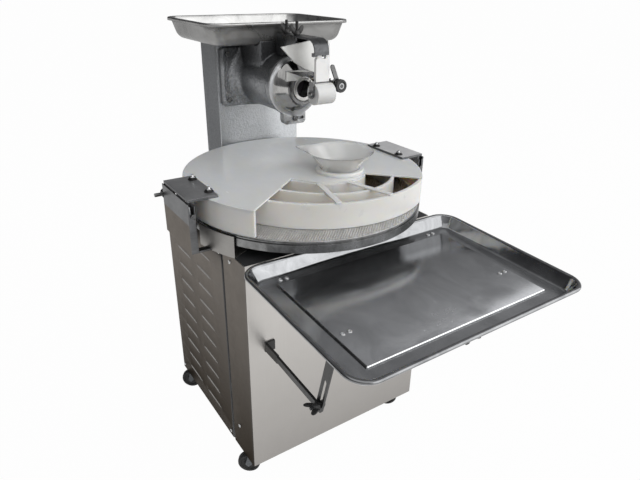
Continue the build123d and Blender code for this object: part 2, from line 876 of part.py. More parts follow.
for side, name in ((-1, "left"), (1, "right")):
    with BuildPart() as clamp_knob:
        hub_start = cheek_face + side_gap
        head_front = -hub_start - cheek_thick
        rod_y(head_front, hub_start + handle_hub_length, side * pin_x, pin_height, pin_radius)
        rod_y(head_front, -hub_start, side * pin_x, pin_height, 1.5 * pin_radius)
        rod_y(hub_start, hub_start + handle_hub_length, side * pin_x, pin_height, handle_hub)
        rod_x(
            side * pin_x - handle_half, side * pin_x + handle_half,
            hub_start + handle_hub_length / 2, pin_height, handle_bar,
        )
    save(clamp_knob, f"clamp_knob_{name}")

# Column and its rear cover
with BuildPart() as column:
    block(column_left, column_right, column_front, column_back - column_sheet, column_bottom, column_top)
    block(
        column_left + column_sheet, column_right - column_sheet,
        column_front + column_sheet, column_back, column_bottom + column_sheet, column_top - column_sheet,
        Mode.SUBTRACT,
    )
    rod_y(column_front, column_front + column_sheet, extruder_x, extruder_z, auger_shaft + free_gap, Mode.SUBTRACT)
    rod_y(column_front, column_front + column_sheet, extruder_x, motor_z, motor_shaft + free_gap, Mode.SUBTRACT)
    fillet(column.edges().filter_by(Axis.Z).group_by(Axis.Y)[0], column_sheet)
save(column, "column")

with BuildPart() as column_cover:
    block(column_left, column_right, column_back - column_sheet, column_back, column_bottom, column_top)
save(column_cover, "column_cover")

# Skins of a pan with tapered walls
def pan_body(center, width, depth, low, high, inset, corner, rounding, shrink):
    """Makes one skin of a pan: tapered walls with rounded corners and a rounded bottom edge."""
    with BuildPart() as skin:
        faces = []
        for level, narrow in ((low + shrink, inset), (high, 0)):
            with BuildSketch(Plane.XY.offset(level)) as face:
                with Locations(center):
                    RectangleRounded(
                        width - 2 * (narrow + rim_width + shrink),
                        depth - 2 * (narrow + rim_width + shrink),
                        corner - shrink,
                    )
            faces.append(face.sketch)
        loft(faces)
        fillet(skin.edges().group_by(Axis.Z)[0], rounding - shrink)
    return skin.part


hopper_shape = (
    (hopper_center_x, hopper_center_y), hopper_width, hopper_depth, hopper_bottom, hopper_top - rim_half,
    hopper_inset, hopper_corner, hopper_round,
)
hopper_outside = pan_body(*hopper_shape, 0)
hopper_inside = pan_body(*hopper_shape, hopper_sheet)

# Barrel casting with rear flange, the cove round its root, throat, front flange and lugs
flange_low = extruder_z - rear_flange_low
flange_high = extruder_z + rear_flange_high
upper_lug_top = extruder_z + lug_reach
lower_lug_low = extruder_z - lower_lug_reach
neck_top_z = hopper_bottom + neck_rise
lug_bolt_low = lower_lug_low + lug_half
lug_bolt_high = upper_lug_top - lug_half


def lugs(y_back, y_front):
    """Adds the upper and lower closing lugs between two Y planes."""
    block(extruder_x - lug_half, extruder_x + lug_half, y_back, y_front, extruder_z, upper_lug_top)
    with BuildSketch(Plane.XZ.offset(-y_back)) as lug_face:
        with Locations((extruder_x, (extruder_z + lower_lug_low) / 2)):
            RectangleRounded(2 * lower_lug_half, extruder_z - lower_lug_low, lug_round)
    extrude(lug_face.sketch, amount=y_back - y_front)


with BuildPart() as cove:
    with BuildSketch(Plane.XY) as cove_half:
        with BuildLine():
            CenterArc((barrel_radius + cove_radius, flange_front - cove_radius), cove_radius, 90, 90)
            Polyline(
                (barrel_radius, flange_front - cove_radius),
                (barrel_radius - cove_lap, flange_front - cove_radius),
                (barrel_radius - cove_lap, flange_front + cove_lap),
                (barrel_radius + cove_radius, flange_front + cove_lap),
                (barrel_radius + cove_radius, flange_front),
            )
        make_face()
    revolve(cove_half.sketch, axis=Axis.Y)
    block(
        -rear_flange_width / 2, rear_flange_width / 2, flange_front - cove_radius, flange_front + cove_lap,
        -rear_flange_low, rear_flange_high, Mode.INTERSECT,
    )
cove_body = cove.part.moved(Location((extruder_x, 0, extruder_z)))
with BuildPart() as barrel:
    block(
        extruder_x - rear_flange_width / 2, extruder_x + rear_flange_width / 2,
        flange_front, column_front, flange_low, flange_high,
    )
    fillet(barrel.edges().filter_by(Axis.Y), rear_flange_thick / 2)
    rod_y(barrel_front, column_front, extruder_x, extruder_z, barrel_radius)
    add(cove_body)
    rod_y(barrel_front, barrel_front + front_flange_thick, extruder_x, extruder_z, front_flange_radius)
    lugs(barrel_front + front_flange_thick, barrel_front)
    block(
        extruder_x - throat_half, extruder_x + throat_half, throat_front, flange_front, extruder_z, neck_top_z,
    )
    add(pan_body(*hopper_shape, -seat_gap), mode=Mode.SUBTRACT)
    rod_y(barrel_front, flange_front, extruder_x, extruder_z, barrel_bore, Mode.SUBTRACT)
    block(
        extruder_x - throat_opening_half, extruder_x + throat_opening_half,
        throat_front + throat_wall, throat_back - throat_wall, extruder_z, neck_top_z, Mode.SUBTRACT,
    )
    rod_y(flange_front, column_front, extruder_x, extruder_z, auger_shaft + run_fit, Mode.SUBTRACT)
    for z_bolt in (lug_bolt_low, lug_bolt_high):
        rod_y(barrel_front, barrel_front + front_flange_thick, extruder_x, z_bolt, lid_bolt_radius, Mode.SUBTRACT)
save(barrel, "barrel")

# Nose cone with the knife bar and its pivot pin
cone_back = barrel_front
cone_shoulder = barrel_front - cone_flange_thick
bar_front = knife_back + knife_gap
bar_back = bar_front + knife_bar_thick
knife_front = knife_back - knife_thick
with BuildPart() as nose_cone:
    with BuildSketch(Plane.XY) as cone_half:
        with BuildLine():
            Polyline(
                (barrel_bore, cone_back),
                (front_flange_radius, cone_back),
                (front_flange_radius, cone_shoulder),
                (cone_shoulder_radius, cone_shoulder),
                (cone_tip_radius, cone_tip),
                (cone_tip_radius, nozzle_front + free_gap),
                (nozzle_outer, nozzle_front + free_gap),
                (nozzle_outer, nozzle_back),
                (nozzle_bore, nozzle_back),
                close=True,
            )
        make_face()
    revolve(cone_half.sketch, axis=Axis.Y)
cone_body = nose_cone.part.moved(Location((extruder_x, 0, extruder_z)))
with BuildPart() as nose_assembly:
    lugs(cone_back, cone_shoulder)
    rod_y(cone_shoulder, cone_back, extruder_x, extruder_z, cone_shoulder_radius, Mode.SUBTRACT)
    add(cone_body)
    block(
        extruder_x - knife_bar_left, knife_pivot_x + knife_hub, bar_front, bar_back,
        knife_pivot_z - knife_bar_half, knife_pivot_z + knife_bar_half,
    )
    rod_y(nozzle_front, nozzle_back, extruder_x, extruder_z, nozzle_outer, Mode.SUBTRACT)
    rod_y(knife_front - pivot_head_thick, bar_front, knife_pivot_x, knife_pivot_z, knife_pivot_radius)
    rod_y(
        knife_front - free_gap - pivot_head_thick, knife_front - free_gap,
        knife_pivot_x, knife_pivot_z, pivot_head,
    )
    for z_bolt in (lug_bolt_low, lug_bolt_high):
        rod_y(cone_shoulder, cone_back, extruder_x, z_bolt, lid_bolt_radius, Mode.SUBTRACT)
    with BuildSketch(Plane.XZ.offset(-cone_back)) as lug_slot:
        with Locations((extruder_x + lower_lug_half / 2, lug_bolt_low)):
            SlotOverall(lug_slot_length, 2 * lid_bolt_radius)
    extrude(lug_slot.sketch, amount=cone_flange_thick, mode=Mode.SUBTRACT)
save(nose_assembly, "nose_cone")

with BuildPart() as nozzle:
    rod_y(nozzle_front, nozzle_back, extruder_x, extruder_z, nozzle_outer)
    rod_y(nozzle_front, nozzle_back, extruder_x, extruder_z, nozzle_bore, Mode.SUBTRACT)
    fillet(nozzle.edges().group_by(Axis.Y)[0], free_gap)
save(nozzle, "nozzle")

# Bolts of the rear flange and of the closing lugs
with BuildPart() as extruder_bolts:
    for x_sign in sides:
        for z_bolt in (flange_low + rear_flange_thick, flange_high - rear_flange_thick):
            x_bolt = extruder_x + x_sign * (rear_flange_width / 2 - rear_flange_thick)
            hex_y(flange_front, flange_front - bolt_head_thick, x_bolt, z_bolt)
    for z_bolt in (lug_bolt_low, lug_bolt_high):
        rod_y(
            cone_shoulder - bolt_head_thick, barrel_front + front_flange_thick + bolt_head_thick,
            extruder_x, z_bolt, lid_bolt_radius,
        )
        hex_y(cone_shoulder, cone_shoulder - bolt_head_thick, extruder_x, z_bolt)
        nut_back = barrel_front + front_flange_thick + bolt_head_thick
        hex_y(nut_back, nut_back - bolt_head_thick, extruder_x, z_bolt)
save(extruder_bolts, "extruder_bolts")

# Hopper pan with a rounded bottom and a rolled rim, open over the throat
with BuildPart() as hopper_pan:
    add(hopper_outside)
    add(hopper_inside, mode=Mode.SUBTRACT)
    with BuildSketch(Plane.XY.offset(hopper_top - 2 * rim_half)) as rim_face:
        with Locations((hopper_center_x, hopper_center_y)):
            RectangleRounded(hopper_width, hopper_depth, hopper_corner + rim_width)
            RectangleRounded(
                hopper_width - 2 * rim_width - 2 * hopper_sheet,
                hopper_depth - 2 * rim_width - 2 * hopper_sheet,
                hopper_corner - hopper_sheet,
                mode=Mode.SUBTRACT,
            )
    extrude(rim_face.sketch, amount=2 * rim_half)
    block(
        extruder_x - throat_opening_half, extruder_x + throat_opening_half,
        throat_front + throat_wall, throat_back - throat_wall,
        hopper_bottom, hopper_bottom + hopper_round, Mode.SUBTRACT,
    )
    fillet(hopper_pan.edges().group_by(Axis.Z)[-1], rim_roll)
save(hopper_pan, "hopper_pan")

# Auger with a helical flight, its pulley, the belt and the motor pulley
auger_length = auger_turns * auger_pitch
flight_mid = (auger_shaft + auger_radius) / 2
with BuildPart() as auger_flight_part:
    with BuildLine() as helix_path:
        Helix(auger_pitch, auger_length, flight_mid)
    with BuildSketch(Plane(origin=helix_path.line @ 0, x_dir=(1, 0, 0), z_dir=helix_path.line % 0)) as flight_face:
        Rectangle(auger_radius - auger_shaft + 2 * free_gap, auger_flight)
    sweep(path=helix_path.line, is_frenet=True)
auger_screw = auger_flight_part.part.rotate(Axis.X, 90)
auger_screw = auger_screw.moved(Location((extruder_x, auger_front + auger_length, extruder_z)))
with BuildPart() as auger:
    rod_y(auger_front - auger_flight, pulley_back, extruder_x, extruder_z, auger_shaft)
    add(auger_screw)
save(auger, "auger")


def pulley(axis_z, radius):
    """Adds a flanged belt pulley on the extruder drive plane."""
    rod_y(pulley_front, pulley_back, extruder_x, axis_z, radius)
    for lip_front in (pulley_front, pulley_back - pulley_lip):
        rod_y(lip_front, lip_front + pulley_lip, extruder_x, axis_z, radius + pulley_lip_rise)


with BuildPart() as auger_pulley:
    pulley(extruder_z, auger_pulley_radius)
    rod_y(pulley_front, pulley_back, extruder_x, extruder_z, auger_shaft, Mode.SUBTRACT)
save(auger_pulley, "auger_pulley")

with BuildPart() as motor_pulley:
    pulley(motor_z, motor_pulley_radius)
    rod_y(motor_box_front + tube, pulley_back, extruder_x, motor_z, motor_shaft)
save(motor_pulley, "motor_pulley")


def belt_region(growth):
    """Adds the region inside a belt line drawn round both pulleys."""
    high = auger_pulley_radius + growth
    low = motor_pulley_radius + growth
    lean = math.asin((high - low) / (extruder_z - motor_z))
    side_x = math.cos(lean)
    side_z = math.sin(lean)
    with Locations((extruder_x, extruder_z)):
        Circle(high)
    with Locations((extruder_x, motor_z)):
        Circle(low)
    with BuildLine() as runs:
        Polyline(
            (extruder_x + high * side_x, extruder_z + high * side_z),
            (extruder_x + low * side_x, motor_z + low * side_z),
            (extruder_x - low * side_x, motor_z + low * side_z),
            (extruder_x - high * side_x, extruder_z + high * side_z),
            close=True,
        )
    make_face(runs.line)


belt_back = pulley_back - pulley_lip - free_gap
belt_front = pulley_front + pulley_lip + free_gap
with BuildPart() as drive_belt:
    with BuildSketch(Plane.XZ.offset(-belt_back)) as belt_outer:
        belt_region(belt_air + belt_thick)
    extrude(belt_outer.sketch, amount=belt_back - belt_front)
    with BuildSketch(Plane.XZ.offset(-belt_back)) as belt_inner:
        belt_region(belt_air)
    extrude(belt_inner.sketch, amount=belt_back - belt_front, mode=Mode.SUBTRACT)
save(drive_belt, "drive_belt")

with BuildPart() as auger_gearmotor:
    block(
        extruder_x - motor_box_half, extruder_x + motor_box_half,
        motor_box_front, motor_box_back, shelf_z, motor_z + motor_box_half,
    )
    rod_y(motor_box_front - motor_length, motor_box_front, extruder_x, motor_z, motor_radius)
    rod_y(motor_box_front + tube, motor_box_back, extruder_x, motor_z, motor_shaft + run_fit, Mode.SUBTRACT)
save(auger_gearmotor, "auger_gearmotor")

# Cutter bracket: an inverted channel with a strap bent down at the front
channel_front = strap_front + strap_bend + strap_thick
strap_low = strap_top - strap_thick
bracket_bottom = strap_top - web_drop
web_seat = extruder_z + math.sqrt(barrel_radius**2 - (strap_half - strap_thick) ** 2) + run_fit
web_step = barrel_front + front_flange_thick + free_gap
bend_z = strap_top - strap_bend - strap_thick
ear_left = (extruder_x - strap_half, extruder_x - strap_half + 2 * ear_half)
ear_mid = (extruder_x + ear_half, extruder_x + 3 * ear_half)
with BuildPart() as cutter_bracket:
    with BuildSketch(Plane.YZ.offset(extruder_x - strap_half)) as strap_face:
        with BuildLine():
            Polyline(
                (channel_front, strap_top),
                (strap_back, strap_top),
                (strap_back, strap_low),
                (channel_front, strap_low),
            )
            RadiusArc((channel_front, strap_low), (strap_front + strap_thick, bend_z), -strap_bend)
            Polyline(
                (strap_front + strap_thick, bend_z), (strap_front + strap_thick, gauge_pivot_z),
                (strap_front, gauge_pivot_z), (strap_front, bend_z),
            )
            RadiusArc((strap_front, bend_z), (channel_front, strap_top), strap_bend + strap_thick)
        make_face()
    extrude(strap_face.sketch, amount=2 * strap_half)
    for web in sides:
        slab_x(
            extruder_x + web * (strap_half - strap_thick), extruder_x + web * strap_half,
            (
                (strap_back, strap_low),
                (strap_back, web_seat),
                (web_step, web_seat),
                (web_step, bracket_bottom),
                (barrel_front, bracket_bottom),
                (bar_back, bend_z),
                (bar_back, strap_low),
            ),
        )
    for y_stud in stud_ys:
        rod_z(strap_low, strap_top, extruder_x, y_stud, stud_radius + run_fit, Mode.SUBTRACT)
    for x_low, x_high in (ear_left, ear_mid):
        block(
            x_low, x_high, strap_front + strap_thick, gauge_y + gauge_pin + free_gap,
            gauge_pivot_z - gauge_pin - free_gap, gauge_pivot_z + gauge_pin + free_gap,
        )
        block(
            x_low, x_high, strap_front + strap_thick, strap_front + strap_thick + free_gap,
            gauge_pivot_z, bend_z,
        )
    rod_x(ear_left[0], gauge_right - free_gap, gauge_y, gauge_pivot_z, gauge_pin)
save(cutter_bracket, "cutter_bracket")

# Studs with wing nuts that hold the bracket
with BuildPart() as wing_studs:
    hex_z(strap_low - bolt_head_thick, strap_low, extruder_x, stud_ys[1])
    for y_stud, foot in zip(stud_ys, (extruder_z + barrel_radius + run_fit, strap_low - bolt_head_thick)):
        rod_z(foot, stud_top, extruder_x, y_stud, stud_radius)
        rod_z(strap_top, strap_top + wing_hub_height, extruder_x, y_stud, wing_hub)
        for side in sides:
            slab_y(
                y_stud + wing_thick / 2, y_stud - wing_thick / 2,
                (
                    (extruder_x + side * stud_radius, strap_top + free_gap),
                    (extruder_x + side * wing_hub, strap_top + free_gap),
                    (extruder_x + side * wing_span, strap_top + wing_hub_height + wing_height),
                    (extruder_x + side * (wing_span - wing_hub), strap_top + wing_hub_height + wing_height),
                    (extruder_x + side * stud_radius, strap_top + wing_hub_height),
                ),
            )
save(wing_studs, "wing_studs")

# Swinging knife
blade = (knife_toe, knife_heel, knife_shoulder, knife_pivot, *knife_edge)
with BuildPart() as knife:
    slab_y(knife_back, knife_front, [(extruder_x + x, extruder_z + z) for x, z in blade])
    rod_y(knife_front, knife_back, knife_pivot_x, knife_pivot_z, knife_hub)
    rod_y(knife_front, knife_back, knife_pivot_x, knife_pivot_z, knife_pivot_radius + run_fit, Mode.SUBTRACT)
save(knife, "knife")

# Gauge plate with its roller fork, roller and small wheel
notch_z = gauge_pivot_z - 3 * gauge_pin
gauge_back = gauge_y + gauge_thick / 2
gauge_front = gauge_y - gauge_thick / 2
clear_x = ear_left[1] + side_gap
with BuildPart() as gauge_plate:
    slab_y(
        gauge_back, gauge_front,
        (
            (gauge_left, gauge_bottom),
            (gauge_right, gauge_bottom),
            (gauge_right, gauge_top),
            (extruder_x + strap_half + free_gap, gauge_top),
            (extruder_x + strap_half + free_gap, gauge_shoulder),
            (ear_mid[1] + side_gap, gauge_shoulder),
            (ear_mid[1] + side_gap, notch_z),
            (ear_mid[0] - side_gap, notch_z),
            (ear_mid[0] - side_gap, gauge_shoulder),
            (clear_x, gauge_shoulder),
            (clear_x, notch_z),
            (gauge_left, notch_z),
        ),
    )
    rod_x(gauge_left, gauge_right, gauge_y, gauge_pivot_z, gauge_pin + run_fit, Mode.SUBTRACT)
save(gauge_plate, "gauge_plate")

left_plate = roller_left - free_gap - fork_plate
right_plate = roller_right + free_gap
lever_back = gauge_front - free_gap
lever_front = lever_back - fork_plate
wheel_back = lever_front - side_gap
wheel_front = wheel_back - 2 * small_wheel_half
with BuildPart() as roller_fork:
    block(
        left_plate, right_plate + fork_plate,
        gauge_y - fork_bar / 2, gauge_y + fork_bar / 2, gauge_bottom - fork_bar / 2, gauge_bottom,
    )
    for x_low in (left_plate, right_plate):
        bar_x(x_low, x_low + fork_plate, (gauge_y, roller_z), (gauge_y, gauge_bottom), fork_half)
    rod_x(left_plate, right_plate + fork_plate, gauge_y, roller_z, axle_radius)
    block(
        left_plate, right_plate + fork_plate,
        gauge_y - gauge_thick, gauge_y + gauge_thick,
        gauge_bottom, gauge_bottom + 2 * fork_half, Mode.SUBTRACT,
    )
    block(right_plate, wheel_x, lever_front, gauge_y + fork_bar / 2, gauge_bottom - fork_bar, gauge_bottom)
    with BuildSketch(Plane.XZ.offset(-lever_back)) as lever_face:
        with Locations((wheel_x - lever_lean / 2, wheel_z + lever_rise / 2)):
            SlotCenterToCenter(
                math.hypot(lever_lean, lever_rise), 2 * lever_half,
                rotation=math.degrees(math.atan2(lever_rise, -lever_lean)),
            )
    extrude(lever_face.sketch, amount=fork_plate)
    rod_y(wheel_front - free_gap, lever_back, wheel_x, wheel_z, axle_radius)
save(roller_fork, "roller_fork")

with BuildPart() as gauge_roller:
    rod_x(roller_left, roller_right, gauge_y, roller_z, roller_radius)
    fillet(gauge_roller.edges().filter_by(GeomType.CIRCLE), free_gap)
    rod_x(roller_left, roller_right, gauge_y, roller_z, axle_radius + run_fit, Mode.SUBTRACT)
save(gauge_roller, "gauge_roller")

with BuildPart() as gauge_wheel:
    rod_y(wheel_front, wheel_back, wheel_x, wheel_z, small_wheel_radius)
    fillet(gauge_wheel.edges().filter_by(GeomType.CIRCLE), free_gap)
    rod_y(wheel_front, wheel_back, wheel_x, wheel_z, axle_radius + run_fit, Mode.SUBTRACT)
save(gauge_wheel, "gauge_wheel")

# Tray pan with a rolled rim, inner plate, screws and rails, all in the tray's own frame
tray_mid = -tray_length / 2
tray_floor = -tray_depth
tray_shape = ((0, tray_mid), tray_width, tray_length, tray_floor, 0, tray_inset, tray_corner, tray_round)
tray_outside = pan_body(*tray_shape, 0)
tray_inside = pan_body(*tray_shape, tray_sheet)
with BuildPart() as tray_pan:
    add(tray_outside)
    add(tray_inside, mode=Mode.SUBTRACT)
    with BuildSketch(Plane.XY.offset(-rim_half)) as rim_face:
        with Locations((0, tray_mid)):
            RectangleRounded(tray_width, tray_length, tray_corner + rim_width)
            RectangleRounded(
                tray_width - 2 * rim_width - 2 * tray_sheet,
                tray_length - 2 * rim_width - 2 * tray_sheet,
                tray_corner - tray_sheet,
                mode=Mode.SUBTRACT,
            )
    extrude(rim_face.sketch, amount=2 * rim_half)
    fillet(tray_pan.edges().group_by(Axis.Z)[-1], rim_roll)
tray_place = tray_plane.location
save(tray_pan, "tray_pan", tray_place)

plate_low = tray_floor + tray_sheet
plate_high = plate_low + inner_plate_thick
with BuildPart() as tray_plate:
    with BuildSketch(Plane.XY.offset(plate_low)) as inner_face:
        with Locations((0, tray_mid)):
            RectangleRounded(inner_plate_width, inner_plate_length, inner_plate_thick)
    extrude(inner_face.sketch, amount=inner_plate_thick)
    chamfer(tray_plate.edges().group_by(Axis.Z)[-1], inner_plate_bevel)
save(tray_plate, "tray_plate", tray_place)

with BuildPart() as tray_screws:
    for side in sides:
        for screw_in, seat in ((rear_screw_in, plate_low), (front_screw_in, plate_high)):
            for pair in sides:
                x_screw = side * rail_x + pair * screw_pair_half
                rod_z(seat, seat + screw_head_thick, x_screw, -screw_in, screw_head)
save(tray_screws, "tray_screws", tray_place)

link_local = tray_plane.to_local_coords(Vector(0, link_top_y, link_top_z))
with BuildPart() as tray_rails:
    for side in sides:
        x_low = side * rail_x - rail_half
        x_high = side * rail_x + rail_half
        block(x_low, x_high, -rail_length, hinge_local_y, -rail_low, tray_floor)
        rod_x(x_low, x_high, hinge_local_y, hinge_local_z, knuckle)
        rod_x(
            x_low, x_high, hinge_local_y, hinge_local_z, hinge_pin + run_fit, Mode.SUBTRACT,
        )
        tab_x = side * rail_x
        bar_x(
            tab_x - arm_thick / 2, tab_x + arm_thick / 2,
            (link_local.Y, link_local.Z), (link_local.Y, -rail_low), link_half,
        )
        rod_x(
            tab_x, tab_x + side * (arm_thick / 2 + side_gap + link_thick + side_gap),
            link_local.Y, link_local.Z, link_pin,
        )
        block(
            x_low + tube_wall, x_high - tube_wall, -rail_length, -knuckle,
            tube_wall - rail_low, tray_floor - tube_wall, Mode.SUBTRACT,
        )
    block(-tray_width, tray_width, -tray_length, 0, tray_floor, 0, Mode.SUBTRACT)
save(tray_rails, "tray_rails", tray_place)

# Hinge brackets with their pins on the front panel
with BuildPart() as tray_brackets:
    for side in sides:
        block(
            side * rail_x - bracket_half, side * rail_x + bracket_half,
            cabinet_front - bracket_plate, cabinet_front, hinge_z - bracket_half / 2, hinge_z + bracket_half / 2,
        )
        for ear in sides:
            x_ear = side * rail_x + ear * (rail_half + side_gap)
            bar_x(x_ear, x_ear + ear * ear_thick, (hinge_y, hinge_z), (cabinet_front - knuckle, hinge_z), knuckle)
        pin_half = rail_half + side_gap + ear_thick
        rod_x(side * rail_x - pin_half, side * rail_x + pin_half, hinge_y, hinge_z, hinge_pin)
save(tray_brackets, "tray_brackets")

# Slotted links on the tray rails
link_x = rail_x + arm_thick / 2 + side_gap
link_length = math.dist((link_top_y, link_top_z), (bolt_c_y, bolt_c_z))
link_dir = ((bolt_c_y - link_top_y) / link_length, (bolt_c_z - link_top_z) / link_length)


def along_link(distance):
    """Gives the Y, Z point at a distance down the link from its pin."""
    return (link_top_y + link_dir[0] * distance, link_top_z + link_dir[1] * distance)


with BuildPart() as tray_links:
    for side in sides:
        x_near = side * link_x
        x_far = side * (link_x + link_thick)
        bar_x(x_near, x_far, (link_top_y, link_top_z), along_link(slot_far), link_half)
        bar_x(x_near, x_far, along_link(slot_near), along_link(slot_far), slot_half, Mode.SUBTRACT)
        rod_x(x_near, x_far, link_top_y, link_top_z, link_pin + run_fit, Mode.SUBTRACT)
save(tray_links, "tray_links")

# Arms bolted to lugs on the front panel
arm_x = link_x + link_thick + side_gap
with BuildPart() as tray_arms:
    for side in sides:
        x_near = side * arm_x
        x_far = side * (arm_x + arm_thick)
        bar_x(x_near, x_far, (arm_root_y, arm_root_z), (bolt_c_y, bolt_c_z), arm_half)
        slab_x(
            x_near, x_far,
            (
                (cabinet_front - bracket_plate, arm_root_z + root_half),
                (arm_root_y, arm_root_z + root_half),
                (arm_root_y, arm_root_z - root_half),
                (cabinet_front - bracket_plate, arm_root_z - root_half),
            ),
        )
        block(
            side * (arm_x + arm_thick - 2 * lug_plate_half), side * (arm_x + arm_thick),
            cabinet_front - bracket_plate, cabinet_front, arm_root_z - lug_plate_half, arm_root_z + lug_plate_half,
        )
        rod_x(x_near, x_far, bolt_c_y, bolt_c_z, link_bolt, Mode.SUBTRACT)
save(tray_arms, "tray_arms")

# Wing bolts through the arms and the slots
with BuildPart() as wing_bolts:
    for side in sides:
        head = side * (link_x - side_gap)
        outer = side * (arm_x + arm_thick)
        rod_x(head - side * arm_thick, outer + side * (wing_hub_height + arm_thick), bolt_c_y, bolt_c_z, link_bolt)
        rod_x(head - side * arm_thick, head, bolt_c_y, bolt_c_z, bolt_head_radius)
        rod_x(outer, outer + side * wing_hub_height, bolt_c_y, bolt_c_z, wing_hub)
        for wing in sides:
            with BuildSketch(Plane.XY.offset(bolt_c_z - wing_thick / 2)) as wing_face:
                with BuildLine():
                    Polyline(
                        (outer + side * free_gap, bolt_c_y + wing * link_bolt),
                        (outer + side * free_gap, bolt_c_y + wing * wing_hub),
                        (outer + side * (wing_hub_height + wing_height), bolt_c_y + wing * wing_span),
                        (outer + side * (wing_hub_height + wing_height), bolt_c_y + wing * (wing_span - wing_hub)),
                        (outer + side * wing_hub_height, bolt_c_y + wing * link_bolt),
                        close=True,
                    )
                make_face()
            extrude(wing_face.sketch, amount=wing_thick)
save(wing_bolts, "wing_bolts")

# Control box with the main switch, and the cable gland
with BuildPart() as control_box:
    block(half_width, box_face, box_y - box_half_y, box_y + box_half_y, box_z - box_half_z, box_z + box_half_z)
    block(
        half_width, box_face - box_sheet,
        box_y - box_half_y + box_sheet, box_y + box_half_y - box_sheet,
        box_z - box_half_z + box_sheet, box_z + box_half_z - box_sheet, Mode.SUBTRACT,
    )
    rod_x(box_face - box_sheet, box_face, box_y, box_z, switch_stem + run_fit, Mode.SUBTRACT)
save(control_box, "control_box")

with BuildPart() as main_switch:
    rod_x(box_face - box_out / 2, box_face + switch_out, box_y, box_z, switch_stem)
    rod_x(box_face + side_gap, box_face + switch_out, box_y, box_z, switch_radius)
    block(
        box_face + switch_out, box_face + switch_out + switch_grip_out,
        box_y - switch_stem, box_y + switch_stem, box_z - switch_grip_half, box_z + switch_grip_half,
    )
save(main_switch, "main_switch")

with BuildPart() as cable_gland:
    rod_y(frame_back - gland_in, cabinet_back + gland_out, gland_x, gland_z, gland_thread)
    rod_y(cabinet_back, cabinet_back + gland_out, gland_x, gland_z, gland_nut)
    rod_y(frame_back - gland_in, frame_back, gland_x, gland_z, gland_nut)
    rod_y(frame_back - gland_in, cabinet_back + gland_out, gland_x, gland_z, gland_bore, Mode.SUBTRACT)
save(cable_gland, "cable_gland")
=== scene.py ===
import math

import bmesh
import bpy
from mathutils import Matrix, Vector


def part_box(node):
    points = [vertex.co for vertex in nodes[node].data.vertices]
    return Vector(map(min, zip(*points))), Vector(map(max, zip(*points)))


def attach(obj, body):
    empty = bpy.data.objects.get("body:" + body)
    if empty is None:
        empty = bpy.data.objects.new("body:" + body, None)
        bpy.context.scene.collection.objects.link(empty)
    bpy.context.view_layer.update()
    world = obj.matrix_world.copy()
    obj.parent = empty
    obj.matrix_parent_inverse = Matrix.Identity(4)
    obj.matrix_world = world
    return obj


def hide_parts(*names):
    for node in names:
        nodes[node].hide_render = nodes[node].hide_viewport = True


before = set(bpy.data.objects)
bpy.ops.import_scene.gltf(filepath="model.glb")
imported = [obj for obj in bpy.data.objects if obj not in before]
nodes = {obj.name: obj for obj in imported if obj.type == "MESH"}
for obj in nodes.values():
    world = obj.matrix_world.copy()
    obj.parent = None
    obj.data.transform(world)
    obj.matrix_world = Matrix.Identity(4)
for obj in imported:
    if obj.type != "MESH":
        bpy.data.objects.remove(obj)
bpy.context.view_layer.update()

scene = bpy.context.scene
disc_low, disc_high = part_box("turntable")
DISC_AXIS = ((disc_low[0] + disc_high[0]) / 2, (disc_low[1] + disc_high[1]) / 2)
UP = (0.0, 0.0, 1.0)
WHITE = (1.0, 1.0, 1.0)
TINY = 1e-6

# Camera fitted to the photograph's straight edges
CAM_AZIMUTH = math.radians(-34.0025)
CAM_ELEVATION = math.radians(25.587)
CAM_ROLL = math.radians(0.935)
CAM_FROM_DISC = (-0.7156, -1.1430, 1.2191)
CAM_LENS, CAM_SENSOR = 30.958, 36.0
CAM_NEAR, CAM_FAR = 0.05, 900.0


def add_camera():
    back = Vector((
        math.sin(CAM_AZIMUTH) * math.cos(CAM_ELEVATION),
        -math.cos(CAM_AZIMUTH) * math.cos(CAM_ELEVATION),
        math.sin(CAM_ELEVATION),
    ))
    level = Vector((math.cos(CAM_AZIMUTH), math.sin(CAM_AZIMUTH), 0.0))
    rise = back.cross(level)
    right = level * math.cos(CAM_ROLL) + rise * math.sin(CAM_ROLL)
    up = rise * math.cos(CAM_ROLL) - level * math.sin(CAM_ROLL)
    turn = Matrix((right, up, back)).transposed().to_4x4()
    data = bpy.data.cameras.new("camera")
    data.sensor_fit = "HORIZONTAL"
    data.sensor_width = CAM_SENSOR
    data.lens = CAM_LENS
    data.clip_start, data.clip_end = CAM_NEAR, CAM_FAR
    camera = bpy.data.objects.new("camera", data)
    place = Vector(CAM_FROM_DISC) + Vector((*DISC_AXIS, 0.0))
    camera.matrix_world = Matrix.Translation(place) @ turn
    scene.collection.objects.link(camera)
    scene.camera = camera


# Node helpers for procedural materials
BEVEL_RADIUS, BEVEL_SAMPLES = 0.0012, 4
MIX_COLOUR_INPUTS, MIX_COLOUR_OUTPUT = (0, 6, 7), 2


def feed(tree, socket, value):
    """Links an output to a socket, or sets a plain value on it."""
    if hasattr(value, "is_output"):
        tree.links.new(value, socket)
    elif socket.type == "RGBA" and len(value) == 3:
        socket.default_value = (*value, 1.0)
    else:
        socket.default_value = value


def add_node(tree, kind, settings=(), **inputs):
    """Adds a shader node; an underscore in an input's name stands for a space."""
    node = tree.nodes.new("ShaderNode" + kind)
    for key, value in settings:
        setattr(node, key, value)
    for key, value in inputs.items():
        feed(tree, node.inputs[key.replace("_", " ")], value)
    return node


def add_math(tree, kind, first, second):
    node = add_node(tree, "Math", (("operation", kind),))
    feed(tree, node.inputs[0], first)
    feed(tree, node.inputs[1], second)
    return node.outputs[0]


